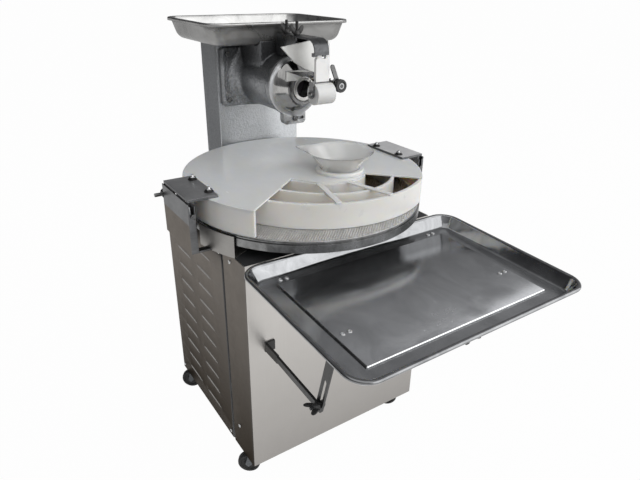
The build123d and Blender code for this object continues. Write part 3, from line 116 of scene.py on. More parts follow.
class Finish:
    """A material with short calls for what the finishes share."""

    def __init__(self, name):
        self.material = bpy.data.materials.new(name)
        self.material.use_nodes = True
        self.tree = self.material.node_tree
        self.shader = self.tree.nodes["Principled BSDF"]
        self.coord = self.node("TexCoord").outputs["Object"]
        bevel = self.node("Bevel", (("samples", BEVEL_SAMPLES),), Radius=BEVEL_RADIUS)
        self.edge = bevel.outputs["Normal"]

    def node(self, kind, settings=(), **inputs):
        return add_node(self.tree, kind, settings, **inputs)

    def set(self, **inputs):
        for key, value in inputs.items():
            feed(self.tree, self.shader.inputs[key.replace("_", " ")], value)
        return self.material

    def stretch(self, scale):
        return self.node("Mapping", Scale=scale, Vector=self.coord).outputs["Vector"]

    def noise(self, scale, detail=3.0, rough=0.5, vector=None, distort=0.0):
        made = self.node("TexNoise", Scale=scale, Detail=detail, Roughness=rough, Distortion=distort,
                         Vector=vector or self.coord)
        return made.outputs["Fac"]

    def cells(self, scale, smooth):
        made = self.node("TexVoronoi", (("feature", "SMOOTH_F1"),), Scale=scale, Smoothness=smooth,
                         Vector=self.coord)
        return made.outputs["Distance"]

    def span(self, value, low, high, start=0.0, end=1.0):
        """Maps a value from start to end onto low to high."""
        made = self.node("MapRange", From_Min=start, From_Max=end, To_Min=low, To_Max=high, Value=value)
        return made.outputs["Result"]

    def share(self, value, start=0.3, end=0.7):
        """Maps a value from start to end onto 0 to 1."""
        return self.span(value, 0.0, 1.0, start, end)

    def upward(self, low, high, start, end):
        """Gives a value that fades from start to end between two heights."""
        return self.span(self.node("SeparateXYZ", Vector=self.coord).outputs["Z"], start, end, low, high)

    def add(self, first, second):
        return add_math(self.tree, "ADD", first, second)

    def times(self, first, second):
        return add_math(self.tree, "MULTIPLY", first, second)

    def mix(self, fac, first, second):
        made = self.node("Mix", (("data_type", "RGBA"),))
        for index, value in zip(MIX_COLOUR_INPUTS, (fac, first, second)):
            feed(self.tree, made.inputs[index], value)
        return made.outputs[MIX_COLOUR_OUTPUT]

    def bump(self, height, strength, distance, after=None):
        made = self.node("Bump", Strength=strength, Distance=distance, Height=height, Normal=after or self.edge)
        return made.outputs["Normal"]


# Finishes
# painted shade: heights over which brushed sheet darkens towards the floor
FLOOR_SHADE_HEIGHTS = (0.05, 0.55)
# painted shade: how far the edge tint dims near the floor, and how dark the barrel's top gets under the hopper
FLOOR_SHADE_EDGE, HOPPER_SHADE_DARKNESS = 0.6, 0.3
UPRIGHT_GRAIN = (420.0, 420.0, 5.0)
SCUFF_STRETCH = (60.0, 14.0, 40.0)
STREAK_STRETCH = (30.0, 30.0, 8.0)


def brushed(name, light, dark, rough, grain, cloud, bump=0.05, low=None, edge=WHITE):
    """Sheet metal with a brushed grain, slow colour clouds and small scuffs; low is its colour near the floor,
    painted shade that darkens the sheet and its edge tint towards the floor.
    """
    g = Finish(name)
    lines = g.noise(1.0, detail=4.0, rough=0.6, vector=g.stretch(grain))
    clouds = g.noise(cloud)
    scuffs = g.noise(22.0, detail=6.0, rough=0.7)
    tone = g.add(g.times(lines, 0.3), g.times(clouds, 0.7))
    colour = g.mix(g.share(tone), dark, light)
    # painted shade: colour and edge tint darken towards the floor
    if low:
        painted_shade_share = g.add(g.upward(*FLOOR_SHADE_HEIGHTS, 0.9, 0.0), g.span(clouds, -0.15, 0.15))
        colour = g.mix(painted_shade_share, colour, low)
        edge = g.mix(painted_shade_share, edge, tuple(c * FLOOR_SHADE_EDGE for c in edge))
    value = g.add(g.span(lines, rough - 0.06, rough + 0.06), g.span(scuffs, -0.05, 0.07, 0.35, 0.75))
    normal = g.bump(lines, bump, 0.0006)
    return g.set(Base_Color=colour, Metallic=1.0, Roughness=value, Normal=normal, Specular_Tint=edge)


def polished(name, light, dark, rough, wave, swirl, edge=WHITE, metallic=1.0):
    """Bright sheet metal with soft unevenness and faint smears."""
    g = Finish(name)
    smear = g.noise(swirl, detail=5.0, rough=0.6, distort=1.2)
    dents = g.noise(14.0, detail=2.0)
    fine = g.noise(260.0, rough=0.6)
    colour = g.mix(g.share(smear), dark, light)
    value = g.add(g.span(smear, rough - 0.05, rough + 0.08, 0.3, 0.7), g.span(fine, -0.02, 0.03))
    normal = g.bump(fine, 0.02, 0.0004, g.bump(dents, wave, 0.004))
    return g.set(Base_Color=colour, Metallic=metallic, Roughness=value, Normal=normal, Specular_Tint=edge)


def hammered(name, light, dark, rough, size, depth, metallic, gloss=0.5, hopper_shade_heights=None):
    """Hammertone paint: dimples with lighter metallic crowns; its last argument gives the heights over which
    painted shade darkens the top, standing in for the hopper's shadow.
    """
    g = Finish(name)
    dimples = g.cells(size, smooth=0.9)
    broad = g.noise(7.0)
    flecks = g.noise(520.0, detail=2.0)
    tone = g.add(g.times(dimples, 0.5), g.times(broad, 0.5))
    colour = g.mix(g.share(tone, 0.25, 0.65), light, dark)
    # painted shade: the colour darkens towards the top, for the hopper's shadow
    if hopper_shade_heights:
        painted_shade_share = g.add(g.upward(*hopper_shade_heights, 0.0, 0.85), g.span(broad, -0.15, 0.15))
        colour = g.mix(painted_shade_share, colour, tuple(c * HOPPER_SHADE_DARKNESS for c in dark))
    value = g.add(g.span(dimples, rough - 0.06, rough + 0.1), g.span(flecks, -0.03, 0.04))
    normal = g.bump(dimples, depth, 0.0016)
    return g.set(Base_Color=colour, Metallic=metallic, Roughness=value, Normal=normal, Specular_IOR_Level=gloss)


def plastic(name, light, dark, rough, coat=0.0, subsurface=0.0, bump=0.04):
    """Moulded plastic with faint stains, scuffs and a fine skin."""
    g = Finish(name)
    stain = g.noise(5.0, detail=5.0, rough=0.6)
    scuff = g.noise(1.0, detail=5.0, rough=0.65, vector=g.stretch(SCUFF_STRETCH))
    skin = g.noise(900.0, detail=2.0)
    colour = g.mix(g.share(stain, 0.35, 0.72), light, dark)
    value = g.add(g.span(scuff, rough - 0.05, rough + 0.07, 0.3, 0.7), g.span(skin, -0.01, 0.02))
    normal = g.bump(skin, bump, 0.0003)
    if subsurface:
        g.set(Subsurface_Weight=subsurface, Subsurface_Radius=(1.0, 0.8, 0.55), Subsurface_Scale=0.012)
    return g.set(Base_Color=colour, Roughness=value, Normal=normal, Coat_Weight=coat, Coat_Roughness=0.08)


def milky(name, light, dark, rough, clear):
    """Thin moulded plastic that lets light and shapes through, with faint streaks."""
    g = Finish(name)
    streak = g.noise(1.0, detail=4.0, rough=0.6, vector=g.stretch(STREAK_STRETCH))
    skin = g.noise(700.0, detail=2.0)
    colour = g.mix(g.share(streak, 0.35, 0.7), light, dark)
    value = g.add(g.span(streak, rough - 0.03, rough + 0.05, 0.3, 0.7), g.span(skin, -0.01, 0.02))
    normal = g.bump(skin, 0.03, 0.0003)
    return g.set(Base_Color=colour, Roughness=value, Normal=normal, Transmission_Weight=clear, IOR=1.3,
                 Coat_Weight=0.8, Coat_Roughness=0.04)


def painted(name, light, dark, rough, metallic=0.0, chips=None):
    """Painted or blackened steel, with worn lighter patches where chips gives their colour."""
    g = Finish(name)
    wear = g.noise(38.0, detail=8.0, rough=0.75)
    broad = g.noise(9.0)
    grain = g.noise(700.0, detail=2.0)
    colour = g.mix(g.share(broad), dark, light)
    if chips:
        colour = g.mix(g.share(wear, 0.66, 0.74), colour, chips)
    value = g.add(g.span(wear, rough - 0.08, rough + 0.1, 0.3, 0.7), g.span(grain, -0.03, 0.03))
    return g.set(Base_Color=colour, Metallic=metallic, Roughness=value, Normal=g.bump(grain, 0.08, 0.0004))


def rubbery(name, light, dark):
    """Rubber with a fine grain and dust."""
    g = Finish(name)
    dust = g.noise(60.0, detail=6.0, rough=0.7)
    grain = g.noise(900.0, detail=2.0, rough=0.6)
    colour = g.mix(g.share(dust, 0.4, 0.75), dark, light)
    return g.set(Base_Color=colour, Roughness=g.span(grain, 0.55, 0.8), Normal=g.bump(grain, 0.15, 0.0004))


def turned(name, light, dark, rough):
    """Lathe-turned metal: fine rings round the disc's axis."""
    g = Finish(name)
    move = g.node("Mapping", Location=(-DISC_AXIS[0], -DISC_AXIS[1], 0.0), Vector=g.coord)
    rings = g.node("TexWave", (("wave_type", "RINGS"), ("rings_direction", "Z")), Scale=160.0, Distortion=1.5,
                   Detail=2.0, Vector=move.outputs["Vector"])
    lines = rings.outputs["Fac"]
    grime = g.noise(26.0, detail=6.0, rough=0.7)
    colour = g.mix(g.share(grime, 0.4, 0.72), light, dark)
    value = g.add(g.span(lines, rough - 0.04, rough + 0.06), g.span(grime, -0.03, 0.12, 0.4, 0.8))
    return g.set(Base_Color=colour, Metallic=1.0, Roughness=value, Normal=g.bump(lines, 0.06, 0.0003))


finish = {
    # the panel and side steel darken towards the floor as painted shade
    "panel": brushed("panel_steel", (0.64, 0.62, 0.595), (0.56, 0.54, 0.515), 0.36, UPRIGHT_GRAIN, cloud=2.0,
                     bump=0.02, low=(0.33, 0.315, 0.30)),
    # painted shade: a darker copy of the panel steel for sheet that faces sideways
    "side": brushed("shaded_side_steel", (0.20, 0.187, 0.174), (0.14, 0.13, 0.12), 0.38, UPRIGHT_GRAIN, cloud=4.0,
                    bump=0.03, low=(0.03, 0.028, 0.026), edge=(0.62, 0.59, 0.56)),
    # painted highlight: a lighter copy of the side steel for the louvre crowns
    "lit_ridge": brushed("lit_ridge_steel", (0.23, 0.218, 0.206), (0.17, 0.16, 0.15), 0.42, UPRIGHT_GRAIN, cloud=30.0,
                     bump=0.03),
    "tray": polished("tray_steel", (0.44, 0.448, 0.46), (0.27, 0.276, 0.286), 0.19, wave=0.05, swirl=6.0,
                     metallic=0.88),
    "rim": polished("rim_steel", (0.40, 0.407, 0.415), (0.25, 0.255, 0.262), 0.10, wave=0.3, swirl=14.0),
    # painted shade: a darker copy of the rim steel for the tray's rolled bead
    "bead": polished("shaded_bead_steel", (0.33, 0.335, 0.342), (0.19, 0.193, 0.198), 0.08, wave=0.1, swirl=20.0),
    "chrome": polished("chrome", (0.82, 0.825, 0.83), (0.66, 0.664, 0.67), 0.09, wave=0.0, swirl=60.0),
    "hopper": polished("hopper_steel", (0.40, 0.397, 0.39), (0.20, 0.198, 0.193), 0.27, wave=0.8, swirl=8.0,
                       edge=(0.6, 0.6, 0.6), metallic=0.7),
    # painted light: a brighter copy of the hopper steel for the inside
    "hopper_in_lit": polished("hopper_inside_lit", (0.62, 0.62, 0.61), (0.34, 0.34, 0.335), 0.27, wave=0.7, swirl=12.0),
    "cone": polished("cone_steel", (0.50, 0.496, 0.485), (0.28, 0.277, 0.27), 0.12, wave=0.12, swirl=18.0),
    "bright": polished("bright_steel", (0.64, 0.636, 0.622), (0.44, 0.436, 0.425), 0.15, wave=0.05, swirl=18.0),
    "satin": polished("satin_steel", (0.66, 0.66, 0.645), (0.54, 0.54, 0.525), 0.46, wave=0.03, swirl=26.0),
    "smoked": polished("smoked_steel", (0.20, 0.20, 0.20), (0.11, 0.11, 0.112), 0.24, wave=0.05, swirl=30.0),
    "strap": polished("strap_steel", (0.13, 0.132, 0.136), (0.065, 0.066, 0.068), 0.28, wave=0.08, swirl=30.0),
    "guard": brushed("guard_steel", (0.42, 0.408, 0.39), (0.31, 0.30, 0.286), 0.52, (60.0, 60.0, 200.0),
                     cloud=9.0, bump=0.03),
    "casting": hammered("casting_grey", (0.38, 0.384, 0.388), (0.21, 0.213, 0.217), 0.34, size=300.0, depth=0.4,
                        metallic=0.8),
    "column": hammered("column_paint", (0.42, 0.433, 0.446), (0.31, 0.32, 0.331), 0.42, size=230.0, depth=0.35,
                       metallic=0.0, gloss=0.05),
    # painted light: a lighter, glossier copy of the column paint for its front
    "column_front_lit": hammered("column_front_lit", (0.52, 0.535, 0.55), (0.38, 0.392, 0.405), 0.3, size=230.0,
                             depth=0.35, metallic=0.45, gloss=0.4),
    # the barrel's top carries painted shade for the hopper's shadow
    "barrel": hammered("barrel_paint", (0.32, 0.328, 0.338), (0.18, 0.185, 0.193), 0.3, size=210.0, depth=0.4,
                       metallic=0.75, hopper_shade_heights=(0.985, 1.02)),
    # dark frame paint, set near-black partly as painted shade for the deck under the disc; also painted shade in
    # the panel seams
    "frame": painted("frame_paint", (0.045, 0.046, 0.048), (0.026, 0.027, 0.028), 0.45),
    "zinc": brushed("zinc_steel", (0.50, 0.505, 0.51), (0.34, 0.345, 0.355), 0.34, (160.0, 60.0, 160.0),
                    cloud=20.0),
    "clamp": brushed("clamp_steel", (0.72, 0.725, 0.73), (0.46, 0.464, 0.47), 0.4, (60.0, 200.0, 60.0),
                     cloud=16.0),
    # painted light: a lighter, more diffuse copy of the clamp steel for the right plate's top
    "lit_clamp": polished("lit_clamp_steel", (0.70, 0.703, 0.707), (0.58, 0.583, 0.588), 0.36, wave=0.03, swirl=26.0,
                     metallic=0.15),
    # painted shade: a dark copy of the clamp steel for the stands and the plates' edges
    "stand": brushed("shaded_stand_steel", (0.22, 0.222, 0.226), (0.11, 0.112, 0.115), 0.34, (60.0, 60.0, 200.0),
                     cloud=14.0, edge=(0.7, 0.7, 0.7)),
    "bolt": polished("bolt_steel", (0.64, 0.64, 0.64), (0.36, 0.36, 0.36), 0.24, wave=0.05, swirl=60.0),
    "dark": painted("black_steel", (0.06, 0.059, 0.058), (0.022, 0.022, 0.022), 0.34, metallic=0.6,
                    chips=(0.22, 0.21, 0.20)),
    "lid": plastic("lid_plastic", (0.90, 0.893, 0.862), (0.82, 0.812, 0.78), 0.2, coat=0.4, subsurface=0.6),
    "wall": plastic("wall_plastic", (0.84, 0.832, 0.81), (0.77, 0.757, 0.725), 0.3, coat=0.15, subsurface=0.8),
    "clear": milky("funnel_plastic", (0.98, 0.98, 0.97), (0.94, 0.94, 0.925), 0.08, clear=0.6),
    "nylon": plastic("nylon", (0.88, 0.876, 0.86), (0.80, 0.796, 0.776), 0.35, subsurface=0.1),
    "roller": plastic("roller_plastic", (0.73, 0.735, 0.725), (0.65, 0.655, 0.645), 0.32, coat=0.1,
                      subsurface=0.1),
    "black": plastic("black_plastic", (0.03, 0.03, 0.031), (0.016, 0.016, 0.016), 0.42, bump=0.1),
    "rubber": rubbery("black_rubber", (0.04, 0.039, 0.037), (0.014, 0.014, 0.014)),
    "disc": turned("disc_metal", (0.60, 0.605, 0.605), (0.34, 0.34, 0.335), 0.28),
    "disc_side": turned("disc_side_metal", (0.27, 0.272, 0.272), (0.10, 0.10, 0.098), 0.3),
    "knurl": polished("knurl_metal", (0.72, 0.716, 0.70), (0.52, 0.516, 0.50), 0.42, wave=0.02, swirl=30.0,
                      metallic=0.5),
    # flour residue, made light as painted light for the lanes
    "residue_lit": painted("floury_lit_metal", (0.90, 0.77, 0.63), (0.68, 0.57, 0.46), 0.6),
    "iron": painted("iron_paint", (0.16, 0.17, 0.18), (0.10, 0.105, 0.11), 0.5, metallic=0.2),
}

# Finishes of the CAD nodes that keep their shape
dress = {
    "panel": "rear_panel",
    "bright": "nozzle",
    "satin": "knife",
    "column": "column_cover control_box",
    "frame": "base_frame",
    "zinc": "tray_rails tray_brackets spindle auger",
    "guard": "disc_guards",
    "smoked": "clamp_knob_left clamp_knob_right extruder_bolts roller_fork",
    "strap": "cutter_bracket",
    "dark": "tray_arms tray_links",
    "lid": "lid tie_slats funnel_collar",
    "wall": "spiral_wall",
    "nylon": "gauge_plate",
    "roller": "gauge_roller",
    "black": "main_switch cable_gland",
    "rubber": "drive_belt",
    "disc": "friction_plate",
    "disc_side": "turntable",
    "iron": "bearing_housing disc_gearmotor auger_gearmotor auger_pulley motor_pulley "
            + " ".join(n for n in nodes if n.startswith("caster_fork")),
}


def coat(obj, material):
    obj.data.materials.clear()
    obj.data.materials.append(material)


for key, names in dress.items():
    for name in names.split():
        coat(nodes[name], finish[key])

# Mesh helpers for the pieces that stand in place of CAD nodes
CREASE = 35.0
HEX_STEPS, ROUND_STEPS, WHEEL_STEPS = 6, 32, 56


def add_piece(name, mesh, material, body, slot, *stands_for, crease=CREASE):
    obj = bpy.data.objects.new(name, mesh)
    scene.collection.objects.link(obj)
    mesh.shade_smooth()
    mesh.set_sharp_from_angle(angle=math.radians(crease))
    coat(obj, material)
    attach(obj, body)
    if stands_for:
        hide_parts(*stands_for)
    return obj


def to_mesh(name, bm, outward=True):
    if outward:
        bmesh.ops.recalc_face_normals(bm, faces=bm.faces)
    mesh = bpy.data.meshes.new(name)
    bm.to_mesh(mesh)
    bm.free()
    return mesh


def joined(node):
    """Gives a node's shape with its corners joined."""
    bm = bmesh.new()
    bm.from_mesh(nodes[node].data)
    bmesh.ops.remove_doubles(bm, verts=bm.verts, dist=TINY)
    return bm


def paint(obj, keys, pick):
    """Adds finishes to a piece and picks one for each face: 0 is its first finish, 1 and up are those added."""
    for key in keys:
        obj.data.materials.append(finish[key])
    for face in obj.data.polygons:
        face.material_index = pick(face)


def smooth_copy(node, name, key, body, slot, crease):
    """Puts a joined copy in a node's place."""
    return add_piece(name, to_mesh(name, joined(node), False), finish[key], body, slot, node, crease=crease)


def lathe(bm, profile, place, axis, steps, closed=False):
    """Adds a turned body: (radius, distance along the axis) points swept round the axis."""
    place = Vector(place)
    along = Vector(axis).normalized()
    side = along.orthogonal().normalized()
    other = along.cross(side)
    rings = []
    for radius, height in profile:
        centre = place + along * height
        if radius < TINY:
            rings.append([bm.verts.new(centre)])
            continue
        ring = []
        for step in range(steps):
            angle = 2 * math.pi * step / steps
            ring.append(bm.verts.new(centre + (side * math.cos(angle) + other * math.sin(angle)) * radius))
        rings.append(ring)
    pairs = list(zip(rings, rings[1:]))
    if closed:
        pairs.append((rings[-1], rings[0]))
    for first, second in pairs:
        for step in range(steps):
            after = (step + 1) % steps
            corners = [first[step % len(first)], first[after % len(first)]]
            corners += [second[after % len(second)], second[step % len(second)]]
            unique = list(dict.fromkeys(corners))
            if len(unique) > 2:
                bm.faces.new(unique)


def both_halves(outline, radius, half):
    """Gives a wheel's profile from the outline of one half, as shares of its radius and half width."""
    profile = [(radius * r, -half * h) for r, h in outline]
    return profile + [(radius * r, half * h) for r, h in reversed(outline)]


def islands(node):
    """Gives the lowest and highest corner of each separate solid in a node, with its corners."""
    bm = joined(node)
    left = set(bm.verts)
    found = []
    while left:
        stack = [left.pop()]
        group = []
        while stack:
            vert = stack.pop()
            group.append(vert.co.copy())
            for edge in vert.link_edges:
                other = edge.other_vert(vert)
                if other in left:
                    left.remove(other)
                    stack.append(other)
        low = Vector([min(c[i] for c in group) for i in range(3)])
        high = Vector([max(c[i] for c in group) for i in range(3)])
        found.append((low, high, group))
    bm.free()
    found.sort(key=lambda item: tuple(round(v, 4) for v in item[0]))
    return found


# Knurled face of the friction plate, with a beige patch inside a spiral edge: flour residue, painted light enough
# to stand in for light in the lanes
KNURL_PITCH = 0.0055
KNURL_HEIGHT = 0.0009
KNURL_MARGIN = 0.004
KNURL_FILL = 0.48
KNURL_TURN = math.radians(45.0)
GRID_REACH = 1.5
# the patch is flour residue and painted light
LIT_RESIDUE_RADIUS = 0.226
LIT_RESIDUE_GROWTH = 0.075
LIT_RESIDUE_START, LIT_RESIDUE_TURN = -90.0, 75.0


def flour_and_lit_patch(face):
    x, y = face.center.x - DISC_AXIS[0], face.center.y - DISC_AXIS[1]
    turn = math.degrees(math.atan2(y, x)) - LIT_RESIDUE_START
    share = min(max(turn, 0.0), LIT_RESIDUE_TURN) / LIT_RESIDUE_TURN
    return int(math.hypot(x, y) < LIT_RESIDUE_RADIUS + LIT_RESIDUE_GROWTH * share ** 2)


def knurl():
    low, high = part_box("friction_plate")
    radius = (high[0] - low[0]) / 2 - KNURL_MARGIN
    reach = KNURL_PITCH * KNURL_FILL * math.sqrt(2)
    count = int(radius / KNURL_PITCH * GRID_REACH)
    verts, faces = [], []
    for i in range(-count, count + 1):
        for j in range(-count, count + 1):
            x = (i * math.cos(KNURL_TURN) - j * math.sin(KNURL_TURN)) * KNURL_PITCH
            y = (i * math.sin(KNURL_TURN) + j * math.cos(KNURL_TURN)) * KNURL_PITCH
            if math.hypot(x, y) > radius:
                continue
            x, y = x + DISC_AXIS[0], y + DISC_AXIS[1]
            first = len(verts)
            for k in range(4):
                angle = KNURL_TURN + math.pi / 4 + k * math.pi / 2
                verts.append((x + reach * math.cos(angle), y + reach * math.sin(angle), high[2]))
            verts.append((x, y, high[2] + KNURL_HEIGHT))
            faces += [(first + k, first + (k + 1) % 4, first + 4) for k in range(4)]
            faces.append((first + 3, first + 2, first + 1, first))
    mesh = bpy.data.meshes.new("friction_knurl")
    mesh.from_pydata(verts, [], faces)
    obj = add_piece("friction_knurl", mesh, finish["knurl"], "disc", "cast_aluminium", crease=10.0)
    paint(obj, ("residue_lit",), flour_and_lit_patch)


# Side panels with pressed louvres; the CAD's louvres stand out by LOUVRE_OUT, these ridges by LOUVRE_SWELL
LOUVRE_LENGTH = 0.100
LOUVRE_RISE = 0.013
LOUVRE_OUT = 0.0035
LOUVRE_SWELL = 0.0019
LOUVRE_FIRST = 0.045
LOUVRE_PITCH = 0.052
LOUVRE_ROWS = 10
LOUVRE_INSETS = (0.256, 0.121)
LOUVRE_END = 0.15
LOUVRE_CURVE = 1.3
LOUVRE_ALONG = (0, .01, .03, .06, .1, .15, .3, .5, .7, .85, .9, .94, .97, .99, 1)
LOUVRE_UPWARD = (0, .1, .22, .36, .5, .64, .78, .9, 1)
# how far a quad must stand out to take the painted highlight
LIT_RIDGE_SHARE = 0.7
ROW_SLACK = 1e-4
PANEL_SHEET = 0.002
EDGE_ROUND = 0.004
EDGE_STEPS = (0, .1, .3, .6, 1)


def louvre_bulge(y, z, low, high):
    """Gives how far the pressed sheet stands out at a point."""
    for inset in LOUVRE_INSETS:
        t = (y - (high[1] - inset - LOUVRE_LENGTH / 2)) / LOUVRE_LENGTH
        if not 0.0 < t < 1.0:
            continue
        row = (z - low[2] - LOUVRE_FIRST) / LOUVRE_PITCH
        s = (row - math.floor(row + TINY)) * LOUVRE_PITCH / LOUVRE_RISE
        if not -ROW_SLACK <= s < 1.0 or not -ROW_SLACK <= row < LOUVRE_ROWS:
            continue
        end = min(t, 1.0 - t) / LOUVRE_END
        ends = math.sqrt(1.0 - (1.0 - end) ** 2) if end < 1.0 else 1.0
        return LOUVRE_SWELL * ends * math.sin(max(s, 0.0) * math.pi) ** LOUVRE_CURVE
    return 0.0


def louvred_panel(name, side):
    low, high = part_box(name)
    face = high[0] - LOUVRE_OUT if side > 0 else low[0] + LOUVRE_OUT
    ends = ((low[1], 1), (high[1], -1))
    ys = {end + turn * EDGE_ROUND * t for end, turn in ends for t in EDGE_STEPS}
    for inset in LOUVRE_INSETS:
        start = high[1] - inset - LOUVRE_LENGTH / 2
        ys.update(start + LOUVRE_LENGTH * t for t in LOUVRE_ALONG)
    ys = sorted(ys)
    rows = [low[2]]
    for row in range(LOUVRE_ROWS):
        lip = low[2] + LOUVRE_FIRST + row * LOUVRE_PITCH
        rows += [lip + LOUVRE_RISE * s for s in LOUVRE_UPWARD]
    rows.append(high[2])
    bm = bmesh.new()
    grid = []
    for z in rows:
        line = []
        for y in ys:
            out = louvre_bulge(y, z, low, high)
            near = EDGE_ROUND - min(y - low[1], high[1] - y)
            if near > 0:
                out = math.sqrt(EDGE_ROUND ** 2 - min(near, EDGE_ROUND) ** 2) - EDGE_ROUND
            line.append(bm.verts.new((face + side * out, y, z)))
        grid.append(line)
    for lower, upper in zip(grid, grid[1:]):
        for c in range(len(ys) - 1):
            bm.faces.new((lower[c], lower[c + 1], upper[c + 1], upper[c]))
    bmesh.ops.remove_doubles(bm, verts=bm.verts, dist=TINY)
    for quad in bm.faces:
        quad.normal_update()
        if quad.normal.x * side < 0:
            quad.normal_flip()
    piece = name + "_pressed"
    # the side panels take the darker side steel as painted shade
    obj = add_piece(piece, to_mesh(piece, bm, False), finish["side"], "body", "stainless_brushed", name,
                    crease=50.0)

    # painted highlight on the louvre crowns; painted shade in the seams at the panel's rounded edges
    def pick(quad):
        edge = min(quad.center.y - low[1], high[1] - quad.center.y) < EDGE_ROUND
        return 2 if edge else int(abs(quad.center.x - face) > LIT_RIDGE_SHARE * LOUVRE_SWELL)

    paint(obj, ("lit_ridge", "frame"), pick)
    shell = obj.modifiers.new("sheet", "SOLIDIFY")
    shell.thickness = PANEL_SHEET
    shell.offset = -1.0


# Casters: turned tyres on hubs
CASTER_TURN = math.radians(53.0)
CASTER_HALF = 0.010
CASTER_OUTLINE = ((.14, 1.0), (.34, 1.0), (.40, .70), (.68, .66), (.74, .92), (.90, 1.0), (.965, .80), (1.0, .42))


def caster_wheel(tag):
    node, name = "caster_wheel_" + tag, "caster_tyre_" + tag
    low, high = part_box(node)
    centre = (Vector(low) + Vector(high)) / 2
    axis = (math.cos(CASTER_TURN), math.sin(CASTER_TURN), 0.0)
    bm = bmesh.new()
    profile = both_halves(CASTER_OUTLINE, (high[2] - low[2]) / 2, CASTER_HALF)
    lathe(bm, profile, centre, axis, WHEEL_STEPS, closed=True)
    add_piece(name, to_mesh(name, bm), finish["rubber"], node, "caster_rubber", node)


# Cast barrel with softened corners
BARREL_VOXEL, BARREL_PASSES, BARREL_SOFTNESS = 0.0024, 6, 0.5


def barrel():
    mesh = nodes["barrel"].data.copy()
    mesh.name = "barrel_casting"
    obj = add_piece("barrel_casting", mesh, finish["barrel"], "body", "hammer_dark", "barrel", crease=180.0)
    skin = obj.modifiers.new("skin", "REMESH")
    skin.mode = "VOXEL"
    skin.voxel_size = BARREL_VOXEL
    skin.use_smooth_shade = True
    soften = obj.modifiers.new("soften", "SMOOTH")
    soften.factor = BARREL_SOFTNESS
    soften.iterations = BARREL_PASSES


# Front panel folded round the corners, with a dark strip behind each seam as painted shade
FOLD_RADIUS = 0.004
FOLD_STEPS = 6
SEAM_ANGLES = (90.0, 120.0, 150.0, 180.0)
# the strips behind the seams are painted shade
SEAM_SHADE_WIDTH, SEAM_SHADE_SHEET, SEAM_SHADE_INSET = 0.028, 0.0015, 0.035
SIDE_FACING = 0.6


def front_panel():
    low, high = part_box("front_panel")
    path = []
    for inset in (0.0, PANEL_SHEET):
        turn, fold = EDGE_ROUND - inset, FOLD_RADIUS - inset
        line = []
        for angle in SEAM_ANGLES:
            a = math.radians(angle)
            line.append((low[0] + EDGE_ROUND + turn * math.cos(a), high[1] - EDGE_ROUND + turn * math.sin(a)))
        for x_mid, first in ((low[0] + FOLD_RADIUS, 180.0), (high[0] - FOLD_RADIUS, 270.0)):
            for step in range(FOLD_STEPS + 1):
                a = math.radians(first + 90.0 * step / FOLD_STEPS)
                line.append((x_mid + fold * math.cos(a), low[1] + FOLD_RADIUS + fold * math.sin(a)))
        line += [(low[0] + high[0] - x, y) for x, y in reversed(line[:len(SEAM_ANGLES)])]
        path.append(line)
    outline = path[0] + path[1][::-1]
    bm = bmesh.new()
    rings = [[bm.verts.new((x, y, z)) for x, y in outline] for z in (low[2], high[2])]
    count = len(outline)
    for i in range(count):
        j = (i + 1) % count
        bm.faces.new((rings[0][i], rings[0][j], rings[1][j], rings[1][i]))
    for ring in rings:
        for i in range(len(path[0]) - 1):
            bm.faces.new((ring[i], ring[i + 1], ring[count - 2 - i], ring[count - 1 - i]))
    tall = high[2] - low[2] - 2 * SEAM_SHADE_INSET
    size = Matrix.Diagonal((SEAM_SHADE_SHEET, SEAM_SHADE_WIDTH, tall, 1.0))
    for x in (low[0] + EDGE_ROUND + SEAM_SHADE_SHEET, high[0] - EDGE_ROUND - SEAM_SHADE_SHEET):
        place = Matrix.Translation((x, high[1] + PANEL_SHEET, (low[2] + high[2]) / 2))
        bmesh.ops.create_cube(bm, matrix=place @ size)
    name = "front_panel_folded"
    obj = add_piece(name, to_mesh(name, bm), finish["panel"], "body", "stainless_brushed", "front_panel")

    # painted shade: side-facing returns take the darker side steel; rear ends and seam strips take near-black
    # frame paint
    def pick(face):
        return 2 if face.center.y > high[1] - EDGE_ROUND else int(abs(face.normal.x) > SIDE_FACING)

    paint(obj, ("side", "frame"), pick)


# Nose cone: polished cone and smoked collar on a cast flange with lugs
CONE_START, CONE_END, CONE_RADIUS, RIM_RADIUS = 0.0119, 0.0461, 0.0644, 0.0763
CONE_FACING = -0.2
COLLAR_RADIUS, PIVOT_FRONT = 0.0405, -0.0005


def nose_cone():
    low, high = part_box("nozzle")
    axis = ((low[0] + high[0]) / 2, (low[2] + high[2]) / 2)

    def pick(face):
        depth = face.center.y - low[1]
        radius = math.hypot(face.center.x - axis[0], face.center.z - axis[1])
        if CONE_START < depth < CONE_END and radius < CONE_RADIUS and face.normal.y < CONE_FACING:
            return 1
        if PIVOT_FRONT < depth < CONE_START and radius < COLLAR_RADIUS:
            return 2
        if depth < CONE_START:
            return 3
        return 4 if depth < CONE_END and radius < RIM_RADIUS else 0

    obj = smooth_copy("nose_cone", "nose_cone_turned", "casting", "body", "bright_metal", 30.0)
    paint(obj, ("cone", "smoked", "satin", "zinc"), pick)


# Hopper pan, brighter inside than outside: the inside carries painted light
INSIDE_FACING = 0.12


def hopper():
    obj = smooth_copy("hopper_pan", "hopper_pan_pressed", "hopper", "body", "stainless_polished", 40.0)
    paint(obj, ("hopper_in_lit",), lambda face: int(face.normal.z > INSIDE_FACING))


# Moulded funnel with smooth walls
def funnel():
    smooth_copy("funnel", "funnel_moulded", "clear", "funnel", "clear_white", 40.0)


# Column, glossier on its front, where a lighter colour is painted light
FRONT_FACING = -0.5


def column():
    obj = smooth_copy("column", "column_painted", "column", "body", "hammer_grey", 30.0)
    paint(obj, ("column_front_lit",), lambda face: int(face.normal.y < FRONT_FACING))


